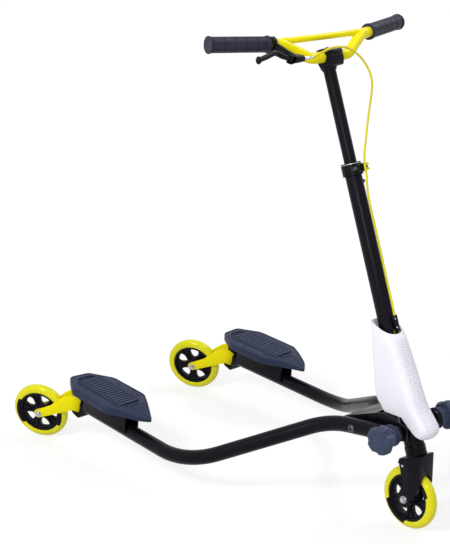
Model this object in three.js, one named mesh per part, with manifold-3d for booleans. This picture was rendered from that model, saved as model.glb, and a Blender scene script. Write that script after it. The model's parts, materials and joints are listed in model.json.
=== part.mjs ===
// A three-wheeled drifting scooter: one steered front wheel, and two arms that fold
// up towards the handlebar column and end in castering rear wheels.
// Millimetres, +X forward, +Y to the rider's left, +Z up. Each group below says
// where its own frame sits. The left side is drawn and the right side is its mirror.
import * as THREE from "three";
import { mergeVertices } from "three/addons/utils/BufferGeometryUtils.js";
import Module from "manifold-3d";

const wasm = await Module();
wasm.setup();

// Fits and cuts
const gap = 0.3;
const overrun = 60;
const degree = Math.PI / 180;
const quarterTurn = Math.PI / 2;
const alongY = new THREE.Vector3(0, 1, 0);
const alongZ = new THREE.Vector3(0, 0, 1);
const tyreSeatGap = 0.5;
const wheelSides = 32;
const hubSides = 16;
const bearingSides = 10;
const knobSides = 20;
const tubeSides = 16;
const armSides = 12;
const boltSides = 10;
const hexSides = 6;
const roundSides = 16;
const leverSides = 8;

// Wheels
const wheelDiameter = 145;
const tyreWidth = 26;
const hubDiameter = 108;
const hubRimWidth = 22;
const hubRimWall = 6;
const hubWebThickness = 8;
const hubBossDiameter = 34;
const hubBossWidth = 24;
const hubBore = 13;
const windowCount = 5;
const windowInnerRadius = 21;
const windowOuterRadius = 44.5;
const windowWidth = 22;
const windowWidestShare = 0.62;
const windowTipShare = 0.9;
const bearingDiameter = 22;
const bearingWidth = 7;
const spacerDiameter = 12.4;
const axleDiameter = 8;
const hexRadius = 7.5;
const boltHeadHeight = 4.6;
const nutHeight = 5.6;
const threadTail = 1.6;
const wheelRadius = wheelDiameter / 2;
const hubRadius = hubDiameter / 2;
const axleRadius = axleDiameter / 2;
const axleHole = axleRadius + gap;

// Steering line and front fork
const rakeDegrees = 19.86;
const axisLead = 50.9;
const forkHeight = 104.3;
const forkWidth = 44;
const forkWall = 3;
const forkLength = 62;
const forkReach = 42;
const forkBossRadius = 19;
const forkBossFromDegrees = 160;
const forkBossToDegrees = 375;
const archHalfWidth = 16;
const archTop = 65.5;
const steererDiameter = 28;
const steererWall = 3;
const steererLength = 252;
const rake = rakeDegrees * degree;
const crownHeight = wheelRadius + forkHeight;
const steererRadius = steererDiameter / 2;

// Foot of the front fork's side, from its front lower corner round to its rear
// edge, as shares of its length and of the height from axle to crown.
const forkFrontShares = [[1, 0.422], [0.84, 0.206], [0.73, 0.053]];
const forkRearShares = [[0.226, 0.312], [0.194, 0.398]];

// Front brake
const brakePivotBehind = 8;
const brakePivotHeight = 78.1;
const brakeBoltDiameter = 5;
const brakeBoltHeadRadius = 3.5;
const brakeArmWidth = 26;
const brakeArmBossRadius = 4.6;
const brakeArmThickness = 6;
const brakeTabReach = 21;
const brakeFrontReach = 24;
const brakeFrontRise = 9;
const brakePadWidth = 18;
const brakePadLength = 13;
const brakePadClearance = 1.3;

// Head tube and headset
const raceHeight = 13.4;
const upperRaceHeight = 9.4;
const headTubeLength = 138;
const headTubeDiameter = 44;
const headFlangeDiameter = 47;
const headFlangeHeight = 8;
const headTubeBore = 34;

// Column
const upperColumnDiameter = 28;
const upperColumnWall = 2.4;
const lowerColumnDiameter = 37.4;
const lowerColumnLength = 498;
const upperColumnInsertion = 88;
const columnShowing = 207;
const heightTravel = 150;
const collarHeight = 39;
const collarWall = 4;
const collarBelowTop = 36;
const lugReach = 28.5;
const lugHalfWidth = 13;
const lugHeight = 27;
const slitWidth = 3;
const skewerDiameter = 5;
const skewerReach = 24;
const skewerBelowTop = 20;
const skewerNutRadius = 5;
const skewerNutHeight = 4;
const camRadius = 7;
const camHeight = 16;
const camPinRadius = 1.8;
const eyeRadius = 4.2;
const leverLength = 58;
const leverThickness = 5;
const leverSetback = 14;
const leverBow = 7.5;
const leverTipDrop = 4;
const buttonDiameter = 8;
const buttonBelowTop = 49;
const buttonAngleDegrees = 60;
const buttonProud = 3.8;
const buttonStroke = 2.5;

// Cable guide and cable
const guideBottom = 277;
const guideLength = 35;
const guideWidth = 15;
const guideDepth = 7.5;
const guideSwingClearance = 0.8;
const cableDiameter = 5;
const cableSides = 8;
const cableSteps = 50;
const cableSlotWidth = 8;
const cableSlotBottom = 262;
const cableSlotLength = 44;

// Stem and handlebar, in the column's frame
const barForward = 10;
const barDiameter = 24.6;
const barWall = 2.5;
const stemWidth = 49;
const stemLength = 35;
const stemCapHeight = 17;
const stemShoulderShare = 0.6;
const stemFlatShare = 0.7;
const saddleDepth = 23;
const saddleSleeveWall = 4;
const saddleSleeveLength = 26;
const lowerBendOut = 58;
const upperBendOut = 124;
const gripStartOut = 156;
const gripEndOut = 296;
const gripStartRise = 45;
const gripEndRise = 64;
const gripStartBack = 18;
const gripEndBack = 48;
const barBendRadius = 42;
const barBendSteps = 3;
const barSides = 12;
const gripDiameter = 34;
const gripFlangeDiameter = 37.3;
const gripFlangeWidth = 4;
const gripCapThickness = 3;
const crossbarDiameter = 14;
const crossbarRise = 46;

// Brake lever on the right grip side, drawn on the left and mirrored
const leverClampWidth = 12;
const leverClampWall = 4;
const leverClampInset = 9;
const leverPivotForward = 28;
const leverPivotOut = 135;
const leverPivotRise = 3;
const leverHousingRadius = 9.5;
const leverHousingInset = 7;
const leverHousingLead = 2;
const leverHousingEndRadius = 5.7;
const leverNeckRadius = 6.65;
const leverEarRadius = 8;
const leverEarThickness = 3;
const leverPinRadius = 2.5;
const leverSwingRadius = 9.3;
const leverSqueezeDegrees = 25;
const leverSqueezeSteps = 3;
const leverHousingOut = 101;
const leverHousingRise = 0.5;
const bladeRadius = 5.2;
const bladeRootRadius = 4.7;
const bladeEndRadius = 4.4;
const bladeBallRadius = 6.8;
const bladeKneeOut = 178;
const bladeKneeRise = 19;
const bladeTipOut = 233;
const bladeTipRise = 8;
const bladeTipForward = 35;
const bladeHubRadius = 6;
const adjusterRadius = 4.5;
const adjusterLength = 15;
const adjusterEndRadius = 3.6;

// Head bracket, in the head frame: over the front axle, level with the crown
const foldPivotBehind = 99;
const foldPivotOut = 76;
const foldPivotRise = 53.7;
const armConvergeDegrees = 5;
const armRiseDegrees = 5.4;
const studAhead = 99.4;
const bracketWall = 5;
const bracketSideGap = 1.3;
const bracketLength = 169;
const bracketHeight = 70;
const bracketBehind = 149;
const bracketBottomRise = 26;
const roofLength = 85;
const floorRise = 34;
const floorThickness = 6;
const floorBehind = 60;
const studBossRadius = 12;
// Side of the bracket from its rear lower corner, as shares of its length and height.
const bracketSideShares = [
  [0, 0], [0.53, 0.02], [1, 0.3], [1, 0.74], [0.64, 0.96], [0.52, 0.94], [0, 0.49],
];

// Shroud, in the head frame
const shroudWidth = 60;
const shroudWall = 2.5;
const shroudCornerRadius = 15;
const shroudBehind = 114;
const shroudLength = 176;
const shroudHeight = 237;
const shroudBottomRise = 49.2;
const shroudWebRise = 116;
const shroudWebThickness = 3;
// Side of the shroud from its rear top corner, as shares of its length and height.
const shroudRearShares = [
  [0, 1], [0.023, 0.903], [0.063, 0.616], [0.115, 0.338], [0.149, 0.266], [0.213, 0.215],
];
const shroudFootShares = [[0.322, 0.169], [0.586, 0.169], [0.747, 0.068], [0.902, 0]];
const shroudFrontShares = [
  [0.943, 0.008], [0.989, 0.046], [1, 0.093], [0.816, 0.27], [0.603, 0.578], [0.379, 0.886],
];

// Arms, in the head frame
const armDiameter = 35;
const armWall = 2.5;
const armNose = 66;
const frontBendBehindPivot = 73.3;
const frontBendRadius = 180;
const rearBendBehind = 455;
const rearBendOut = 265;
const rearBendDrop = 96.8;
const rearBendRadius = 220;
const armBendSteps = 4;
const endPlateRadius = 22;
const endPlateThickness = 10;
const endPlateNeck = 17;
const endPlateInset = 16;
const endPlateNeckAhead = 84;
const endPlateArcDegrees = 130;
const studSlotFlare = 10;
const ventDiameter = 5;
const pivotBoltDiameter = 8;
const pivotHeadRadius = 8.5;
const pivotHeadTopRadius = 6;
const pivotHeadHeight = 4;
const pivotNutHeight = 6;

// Arm knobs
const knobStudDiameter = 10;
const knobSkirtRadius = 21;
const knobSkirtDepth = 15;
const knobRadius = 30.5;
const knobDepth = 24;
const knobEdge = 4;
const knobBackRadius = 26.2;
const knobFaceRadius = 27.4;
const knobLobes = 5;
const knobScoopRadius = 14;
const knobScoopOut = 38.5;
const knobScoopTurnDegrees = 18;
const knobStudEngagement = 20;

// Casters
const casterBehind = 860;
const casterOut = 258;
const casterRiseAboveAxle = 37.5;
const casterLeanDegrees = 18.7;
const casterTurnDegrees = 30;
const casterTrail = 116;
const yokeWall = 3;
const yokeWallAhead = 17.5;
const yokeWidth = 38;
const yokeBottomDrop = 30;
const yokeWallHeight = 66;
const yokeGapHeight = 49;
const armMeetsYokeRise = 4.2;
const rearForkWidth = 39;
const rearForkWall = 3;
const rearForkNoseAhead = 14;
const rearForkNoseHalfWidth = 7;
const rearForkFoldBehind = 12;
const rearForkEndRadius = 11;
const rearForkEndDegrees = 125;
const rearForkFootRise = 7.3;
// Top edge of the rear fork's side, as shares of the way back and down to the axle:
// the curve's two handles, its end, and where it meets the end round.
const rearForkTopShares = [[0.388, 0], [0.55, 0.1], [0.72, 0.45]];
const swivelBoltDiameter = 8;
const swivelHeadHeight = 5;

// Decks, in a frame on the arm's rear straight
const deckBehindBendShare = 0.72;
const deckInset = 2;
const deckRise = 71.5;
const deckLength = 289;
const deckWidth = 126;
const deckDepth = 19;
const deckTopThickness = 5;
const deckSkirtWall = 4;
const deckNoseLength = 84;
const deckNoseDrop = 15;
const deckNoseLevel = 21;
const deckCornerRadius = 16;
const deckBracketAhead = 76;
const deckBracketBehind = 93;
const deckBracketWall = 3;
// Deck seen from above, from its rear outer corner round to its rear inner one:
// shares of its length forward of its middle, and of its width outward.
const deckOutlineShares = [
  [-0.498, 0.219], [-0.294, 0.5], [0.149, 0.487], [0.426, 0.156],
  [0.502, -0.03], [0.152, -0.49], [-0.266, -0.489], [-0.481, -0.202],
];

// Finishes
const finishes = {
  blackPaint: { color: 0x121216, roughness: 0.4, metalness: 0.3 },
  blackPlastic: { color: 0x1a1b20, roughness: 0.6, metalness: 0 },
  deckPlastic: { color: 0x22232c, roughness: 0.65, metalness: 0 },
  knobPlastic: { color: 0x2a2e3c, roughness: 0.55, metalness: 0 },
  yellowPaint: { color: 0xe9e000, roughness: 0.35, metalness: 0.1 },
  yellowTyre: { color: 0xd9d40a, roughness: 0.4, metalness: 0 },
  whitePlastic: { color: 0xf0f0f4, roughness: 0.45, metalness: 0 },
  steel: { color: 0xb9bcc2, roughness: 0.3, metalness: 1 },
  gripRubber: { color: 0x17171a, roughness: 0.85, metalness: 0 },
  cableSheath: { color: 0xd2c818, roughness: 0.45, metalness: 0 },
};
const materials = {};
for (const [name, look] of Object.entries(finishes)) {
  materials[name] = new THREE.MeshStandardMaterial(look);
}

// A closed solid from a three.js geometry, and a geometry from a solid.
function toSolid(geometry) {
  const bare = geometry.clone();
  bare.deleteAttribute("normal");
  bare.deleteAttribute("uv");
  const merged = mergeVertices(bare);
  const mesh = new wasm.Mesh({
    numProp: 3,
    vertProperties: merged.attributes.position.array,
    triVerts: new Uint32Array(merged.index.array),
  });
  return new wasm.Manifold(mesh);
}

function toGeometry(solid) {
  const mesh = solid.getMesh();
  const geometry = new THREE.BufferGeometry();
  geometry.setAttribute("position", new THREE.BufferAttribute(mesh.vertProperties, 3));
  geometry.setIndex(new THREE.BufferAttribute(mesh.triVerts, 1));
  geometry.computeVertexNormals();
  return geometry;
}

function join(...geometries) {
  return toGeometry(geometries.map(toSolid).reduce((whole, next) => whole.add(next)));
}

function cut(geometry, ...cutters) {
  return toGeometry(cutters.map(toSolid).reduce((rest, cutter) => rest.subtract(cutter), toSolid(geometry)));
}

function overlapOf(...geometries) {
  return toGeometry(geometries.map(toSolid).reduce((common, next) => common.intersect(next)));
}

// The mirror image across the XZ plane, with its faces still pointing out.
function mirrored(geometry) {
  const image = geometry.index ? geometry.toNonIndexed() : geometry.clone();
  const places = image.attributes.position.array;
  for (let i = 0; i < places.length; i += 9) {
    for (let k = 0; k < 3; k += 1) {
      [places[i + 3 + k], places[i + 6 + k]] = [places[i + 6 + k], places[i + 3 + k]];
    }
  }
  for (let i = 1; i < places.length; i += 3) {
    places[i] = -places[i];
  }
  image.deleteAttribute("uv");
  image.computeVertexNormals();
  return image;
}

// Round bars and rings about Y, moved by the caller.
function rod(radius, length, sides = boltSides) {
  return new THREE.CylinderGeometry(radius, radius, length, sides);
}

function rodBetween(start, end, startRadius, endRadius, sides = boltSides) {
  const along = end.clone().sub(start);
  const geometry = new THREE.CylinderGeometry(endRadius, startRadius, along.length(), sides);
  const turn = new THREE.Quaternion().setFromUnitVectors(alongY, along.clone().normalize());
  geometry.applyQuaternion(turn);
  const middle = start.clone().add(end).divideScalar(2);
  return geometry.translate(middle.x, middle.y, middle.z);
}

// A solid of revolution about Y from [radius, height] points that close on themselves.
function lathe(profile, sides = tubeSides) {
  const points = profile.map(([radius, height]) => new THREE.Vector2(radius, height));
  points.push(points[0].clone());
  const ordered = THREE.ShapeUtils.area(points) > 0 ? points : points.reverse();
  return new THREE.LatheGeometry(ordered, sides);
}

function ring(outerRadius, innerRadius, bottom, top, sides = tubeSides) {
  return lathe([[innerRadius, bottom], [outerRadius, bottom], [outerRadius, top], [innerRadius, top]], sides);
}

// Turns a solid drawn about Y so that it stands about Z.
function upright(geometry) {
  return geometry.rotateX(quarterTurn);
}

function shapeOf(points) {
  return new THREE.Shape(points.map(([x, y]) => new THREE.Vector2(x, y)));
}

// A plate whose outline is drawn in XZ, centred on Y = 0.
function sidePlate(outline, thickness, curveSegments = 6) {
  const shape = Array.isArray(outline) ? shapeOf(outline) : outline;
  const settings = { depth: thickness, bevelEnabled: false, curveSegments };
  const geometry = new THREE.ExtrudeGeometry(shape, settings);
  return geometry.rotateX(quarterTurn).translate(0, thickness / 2, 0);
}

// A plate whose outline is drawn in XY, from Z = bottom to Z = top.
function flatPlate(outline, bottom, top, curveSegments = 6) {
  const shape = Array.isArray(outline) ? shapeOf(outline) : outline;
  const settings = { depth: top - bottom, bevelEnabled: false, curveSegments };
  return new THREE.ExtrudeGeometry(shape, settings).translate(0, 0, bottom);
}

function block(fromX, toX, fromY, toY, fromZ, toZ) {
  const geometry = new THREE.BoxGeometry(toX - fromX, toY - fromY, toZ - fromZ);
  return geometry.translate((fromX + toX) / 2, (fromY + toY) / 2, (fromZ + toZ) / 2);
}

// Points given as shares of a length and a height, from a corner.
function fromShares(shares, length, height, startX = 0, startZ = 0) {
  return shares.map(([along, up]) => [startX + along * length, startZ + up * height]);
}

// The outline moved in by a distance, edge by edge.
const sharpestCornerShare = 0.3;
function inset(points, distance) {
  const turn = Math.sign(THREE.ShapeUtils.area(points.map(([x, y]) => new THREE.Vector2(x, y))));
  return points.map((point, i) => {
    const before = points[(i + points.length - 1) % points.length];
    const after = points[(i + 1) % points.length];
    const first = new THREE.Vector2(point[0] - before[0], point[1] - before[1]).normalize();
    const second = new THREE.Vector2(after[0] - point[0], after[1] - point[1]).normalize();
    const inward = new THREE.Vector2(-first.y - second.y, first.x + second.x).normalize();
    const across = inward.dot(new THREE.Vector2(-first.y, first.x));
    const reach = (turn * distance) / Math.max(across, sharpestCornerShare);
    return [point[0] + inward.x * reach, point[1] + inward.y * reach];
  });
}

// A closed outline whose corners are rounded.
const mostTrimShare = 0.476;
function roundedShape(points, radius) {
  const shape = new THREE.Shape();
  points.forEach((point, i) => {
    const corner = new THREE.Vector2(...point);
    const before = new THREE.Vector2(...points[(i + points.length - 1) % points.length]);
    const after = new THREE.Vector2(...points[(i + 1) % points.length]);
    const back = before.sub(corner);
    const on = after.sub(corner);
    const trim = Math.min(radius, back.length() * mostTrimShare, on.length() * mostTrimShare);
    const entry = back.setLength(trim).add(corner);
    const exit = on.setLength(trim).add(corner);
    if (i === 0) {
      shape.moveTo(entry.x, entry.y);
    } else {
      shape.lineTo(entry.x, entry.y);
    }
    shape.quadraticCurveTo(corner.x, corner.y, exit.x, exit.y);
  });
  shape.closePath();
  return shape;
}

// A path of straight runs joined by round bends, with stations only where it turns.
class BentPath extends THREE.Curve {
  constructor(corners, bendRadius, bendSteps) {
    super();
    this.stations = [corners[0].clone()];
    this.directions = [corners[1].clone().sub(corners[0]).normalize()];
    for (let i = 1; i < corners.length - 1; i += 1) {
      this.addBend(corners[i - 1], corners[i], corners[i + 1], bendRadius, bendSteps);
    }
    this.stations.push(corners.at(-1).clone());
    this.directions.push(corners.at(-1).clone().sub(corners.at(-2)).normalize());
  }

  addBend(before, corner, after, radius, steps) {
    const into = corner.clone().sub(before).normalize();
    const outOf = after.clone().sub(corner).normalize();
    const angle = into.angleTo(outOf);
    const side = outOf.clone().addScaledVector(into, -into.dot(outOf)).normalize();
    const start = corner.clone().addScaledVector(into, -radius * Math.tan(angle / 2));
    const centre = start.clone().addScaledVector(side, radius);
    for (let k = 0; k <= steps; k += 1) {
      const turned = (angle * k) / steps;
      const station = centre.clone().addScaledVector(side, -radius * Math.cos(turned));
      this.stations.push(station.addScaledVector(into, radius * Math.sin(turned)));
      const direction = into.clone().multiplyScalar(Math.cos(turned));
      this.directions.push(direction.addScaledVector(side, Math.sin(turned)));
    }
  }

  get steps() {
    return this.stations.length - 1;
  }

  getPointAt(share, target = new THREE.Vector3()) {
    return target.copy(this.stations[Math.round(share * this.steps)]);
  }

  getTangentAt(share, target = new THREE.Vector3()) {
    return target.copy(this.directions[Math.round(share * this.steps)]);
  }
}

function roundSection(radius, boreRadius = 0) {
  const section = new THREE.Shape().absarc(0, 0, radius, 0, 2 * Math.PI);
  if (boreRadius > 0) {
    section.holes.push(new THREE.Path().absarc(0, 0, boreRadius, 0, 2 * Math.PI, true));
  }
  return section;
}

function bentTube(path, radius, boreRadius, sides) {
  const settings = { extrudePath: path, steps: path.steps, curveSegments: sides / 2 };
  return new THREE.ExtrudeGeometry(roundSection(radius, boreRadius), settings);
}

function addPiece(parent, name, geometry, finish) {
  const mesh = new THREE.Mesh(geometry, materials[finish]);
  mesh.name = name;
  parent.add(mesh);
  return mesh;
}

function addGroup(parent, x = 0, y = 0, z = 0) {
  const group = new THREE.Group();
  group.position.set(x, y, z);
  parent.add(group);
  return group;
}

// Wheel pieces, about Y, centred on the wheel.
function tyreGeometry() {
  const crown = tyreWidth / 2;
  const seat = hubRadius + tyreSeatGap;
  const profile = [[seat, -crown]];
  const crownSteps = 6;
  for (let k = 0; k <= crownSteps; k += 1) {
    const angle = Math.PI * (k / crownSteps - 1 / 2);
    profile.push([wheelRadius - crown + crown * Math.cos(angle), crown * Math.sin(angle)]);
  }
  profile.push([seat, crown]);
  return lathe(profile, wheelSides);
}

function windowCutter() {
  const half = windowWidth / 2;
  const reach = windowOuterRadius - windowInnerRadius;
  const shape = new THREE.Shape();
  const root = windowInnerRadius + reach / 3;
  const widest = windowInnerRadius + reach * windowWidestShare;
  const tip = half * windowTipShare;
  shape.moveTo(windowInnerRadius, 0);
  shape.quadraticCurveTo(root, half, widest, half);
  shape.quadraticCurveTo(windowOuterRadius, tip, windowOuterRadius, 0);
  shape.quadraticCurveTo(windowOuterRadius, -tip, widest, -half);
  shape.quadraticCurveTo(root, -half, windowInnerRadius, 0);
  return sidePlate(shape, overrun, 3);
}

function hubGeometry() {
  const seat = bearingDiameter / 2 + gap;
  const shoulder = hubBossWidth / 2 - bearingWidth - gap;
  const boss = hubBossDiameter / 2;
  const web = hubWebThickness / 2;
  const rim = hubRadius - hubRimWall;
  const half = [
    [hubBore / 2, shoulder], [seat, shoulder], [seat, hubBossWidth / 2], [boss, hubBossWidth / 2],
    [boss + web, web], [rim - web, web], [rim, hubRimWidth / 2], [hubRadius, hubRimWidth / 2],
  ];
  const other = half.map(([radius, y]) => [radius, -y]).reverse();
  const cutters = [];
  for (let k = 0; k < windowCount; k += 1) {
    cutters.push(windowCutter().rotateY(((k + 1 / 2) * 2 * Math.PI) / windowCount));
  }
  return cut(lathe([...half, ...other], hubSides), ...cutters);
}

// A ball bearing drawn as one ring, with the spacer that keeps it off the fork.
function bearingGeometry(forkInside) {
  const inner = hubBossWidth / 2 - bearingWidth;
  const outer = hubBossWidth / 2;
  const spacer = spacerDiameter / 2;
  const profile = [
    [axleHole, inner], [bearingDiameter / 2, inner], [bearingDiameter / 2, outer],
    [spacer, outer], [spacer, forkInside - gap], [axleHole, forkInside - gap],
  ];
  return lathe(profile, bearingSides);
}

function axleBoltGeometry(forkOutside) {
  const start = forkOutside + gap;
  const headMiddle = start + boltHeadHeight / 2;
  const tail = start + gap + nutHeight + threadTail;
  const shaft = rod(axleRadius, headMiddle + tail).translate(0, (headMiddle - tail) / 2, 0);
  const head = rod(hexRadius, boltHeadHeight, hexSides).translate(0, headMiddle, 0);
  return join(shaft, head);
}

function axleNutGeometry(forkOutside) {
  const middle = forkOutside + gap + nutHeight / 2;
  const nut = rod(hexRadius, nutHeight, hexSides);
  return cut(nut, rod(axleHole, overrun)).translate(0, -middle, 0);
}

function addWheel(parent, label, forkInside) {
  addPiece(parent, label + "_tyre", tyreGeometry(), "yellowTyre");
  addPiece(parent, label + "_hub", hubGeometry(), "blackPlastic");
  const bearing = bearingGeometry(forkInside);
  addPiece(parent, label + "_bearing_left", bearing, "steel");
  addPiece(parent, label + "_bearing_right", mirrored(bearing), "steel");
}

function addAxle(parent, label, forkOutside) {
  addPiece(parent, label + "_axle_bolt", axleBoltGeometry(forkOutside), "steel");
  addPiece(parent, label + "_axle_nut", axleNutGeometry(forkOutside), "steel");
}

// The frame of the whole scooter: under the front axle, on the ground.
const scooter = new THREE.Group();
const crownX = axisLead - forkHeight * Math.tan(rake);

// Steering frame: on the steering line at the fork crown, Z up the column.
const steering = addGroup(scooter, crownX, 0, crownHeight);
steering.rotation.y = -rake;

// Front fork frame: on the front axle, upright, so it undoes the rake.
const frontForkPlace = new THREE.Vector3(-crownX, 0, -forkHeight).applyAxisAngle(alongY, rake);
const frontFork = addGroup(steering, ...frontForkPlace.toArray());
frontFork.rotation.y = rake;

function crownRise(x) {
  return forkHeight + (x - crownX) * Math.tan(rake);
}

function frontForkGeometry() {
  const rear = forkReach - forkLength;
  const front = fromShares(forkFrontShares, forkLength, forkHeight, rear);
  const back = fromShares(forkRearShares, forkLength, forkHeight, rear);
  const outline = new THREE.Shape();
  outline.moveTo(forkReach, crownRise(forkReach));
  outline.lineTo(rear, crownRise(rear));
  back.reverse().forEach(([x, z]) => outline.lineTo(x, z));
  outline.absarc(0, 0, forkBossRadius, forkBossFromDegrees * degree, forkBossToDegrees * degree);
  front.reverse().forEach(([x, z]) => outline.lineTo(x, z));
  outline.closePath();
  const underCrown = (x) => crownRise(x) - forkWall / Math.cos(rake);
  const inFront = forkReach - forkWall;
  const hollow = [
    [inFront, -overrun], [inFront, underCrown(inFront)],
    [-overrun, underCrown(-overrun)], [-overrun, -overrun],
  ];
  const arch = new THREE.Shape();
  const springing = archTop - archHalfWidth / 2;
  arch.moveTo(-archHalfWidth, -overrun);
  arch.lineTo(archHalfWidth, -overrun);
  arch.lineTo(archHalfWidth, springing);
  arch.quadraticCurveTo(archHalfWidth, archTop, 0, archTop);
  arch.quadraticCurveTo(-archHalfWidth, archTop, -archHalfWidth, springing);
  arch.closePath();
  const archCutter = sidePlate(arch, overrun, 4).rotateZ(quarterTurn).translate(forkReach, 0, 0);
  const steererHole = upright(rod(steererRadius - steererWall, overrun, tubeSides));
  const steerer = upright(ring(steererRadius, steererRadius - steererWall, -forkWall / 2, steererLength));
  for (const geometry of [steererHole, steerer]) {
    geometry.rotateY(-rake).translate(crownX, 0, forkHeight);
  }
  const box = cut(
    sidePlate(outline, forkWidth, 5),
    sidePlate(hollow, forkWidth - 2 * forkWall),
    archCutter,
    rod(axleHole, 2 * overrun),
    rod(brakeBoltDiameter / 2 + gap, 2 * overrun).translate(-brakePivotBehind, 0, brakePivotHeight),
    steererHole,
  );
  return join(box, steerer);
}

addPiece(frontFork, "front_fork", frontForkGeometry(), "blackPaint");
addAxle(frontFork, "front", forkWidth / 2);
const frontWheel = addGroup(frontFork);
addWheel(frontWheel, "front", forkWidth / 2 - forkWall);

// Brake arm frame: on its pivot bolt.
const brake = addGroup(frontFork, -brakePivotBehind, 0, brakePivotHeight);

function brakeArmGeometry() {
  const half = brakeArmThickness / 2;
  const outline = [
    [-brakeTabReach, -half], [0, -brakeArmBossRadius], [brakeFrontReach, brakeFrontRise - half],
    [brakeFrontReach, brakeFrontRise], [0, brakeArmBossRadius], [-brakeTabReach, half],
  ];
  return cut(sidePlate(outline, brakeArmWidth), rod(brakeBoltDiameter / 2 + gap, overrun));
}

// The pad's lower face follows the tyre from a small distance.
function brakePadGeometry() {
  const faceRadius = wheelRadius + brakePadClearance;
  const tread = (x) => Math.sqrt(faceRadius ** 2 - (x - brakePivotBehind) ** 2) - brakePivotHeight;
  const rear = -brakeTabReach;
  const front = rear + brakePadLength;
  const half = brakeArmThickness / 2;
  const armUnder = (x) => (1 + x / brakeTabReach) * (half - brakeArmBossRadius) - half - gap;
  const middle = (rear + front) / 2;
  const outline = [
    [rear, tread(rear)], [middle, tread(middle)], [front, tread(front)],
    [front, armUnder(front)], [rear, armUnder(rear)],
  ];
  return sidePlate(outline, brakePadWidth);
}

addPiece(brake, "brake_arm", brakeArmGeometry(), "blackPaint");
addPiece(brake, "brake_pad", brakePadGeometry(), "gripRubber");

function brakeBoltGeometry() {
  const reach = forkWidth / 2 + gap;
  const height = brakeBoltHeadRadius / 2;
  const shaft = rod(brakeBoltDiameter / 2, 2 * reach);
  const dome = rod(brakeBoltHeadRadius, height).translate(0, -reach - height / 2, 0);
  const nut = rod(brakeBoltHeadRadius, 2 * height, hexSides).translate(0, reach + height, 0);
  return join(shaft, dome, nut);
}

const brakeBolt = addPiece(frontFork, "brake_pivot_bolt", brakeBoltGeometry(), "steel");
brakeBolt.position.copy(brake.position);

// Head frame: over the front axle, level with the crown. It carries what doesn't steer.
const head = addGroup(scooter, 0, 0, crownHeight);
const headLine = addGroup(head, crownX, 0, 0);
headLine.rotation.y = -rake;
const headTubeBottom = raceHeight + 2 * gap;
const headTubeTop = headTubeBottom + headTubeLength;
const headTubeRadius = headTubeDiameter / 2;

function headTubeGeometry() {
  const flange = headFlangeDiameter / 2;
  const profile = [
    [headTubeBore / 2, headTubeBottom], [flange, headTubeBottom], [flange, headTubeBottom + headFlangeHeight],
    [headTubeRadius, headTubeBottom + headFlangeHeight + (flange - headTubeRadius)],
    [headTubeRadius, headTubeTop], [headTubeBore / 2, headTubeTop],
  ];
  return upright(lathe(profile));
}

addPiece(headLine, "head_tube", headTubeGeometry(), "blackPaint");
addPiece(
  steering, "lower_headset_race",
  upright(ring(headFlangeDiameter / 2, steererRadius + gap, gap, gap + raceHeight)), "blackPaint",
);
const upperRaceTop = headTubeTop + gap + upperRaceHeight;
addPiece(
  headLine, "upper_headset_race",
  upright(ring(headTubeRadius, steererRadius + gap, headTubeTop + gap, upperRaceTop)), "steel",
);

// Fold frame on the left: at the arm's pivot, X forward along the arm seen from above.
const converge = armConvergeDegrees * degree;
const armRise = armRiseDegrees * degree;
const armRadius = armDiameter / 2;
const bracketFace = armRadius + bracketSideGap;
const studRise = studAhead * Math.tan(armRise);
const knobStart = endPlateThickness / 2 + gap;
const knobStudEnd = knobStart + knobStudEngagement;

function toHead(x, y, z) {
  const place = new THREE.Vector3(x, y, z).applyAxisAngle(alongZ, -converge);
  return place.add(new THREE.Vector3(-foldPivotBehind, foldPivotOut, foldPivotRise));
}

function fromFoldFrame(geometry) {
  return geometry.rotateZ(-converge).translate(-foldPivotBehind, foldPivotOut, foldPivotRise);
}

function headLineCylinder(radius) {
  const cylinder = upright(rod(radius, 8 * overrun, tubeSides));
  return cylinder.rotateY(-rake).translate(crownX, 0, 0);
}

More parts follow.
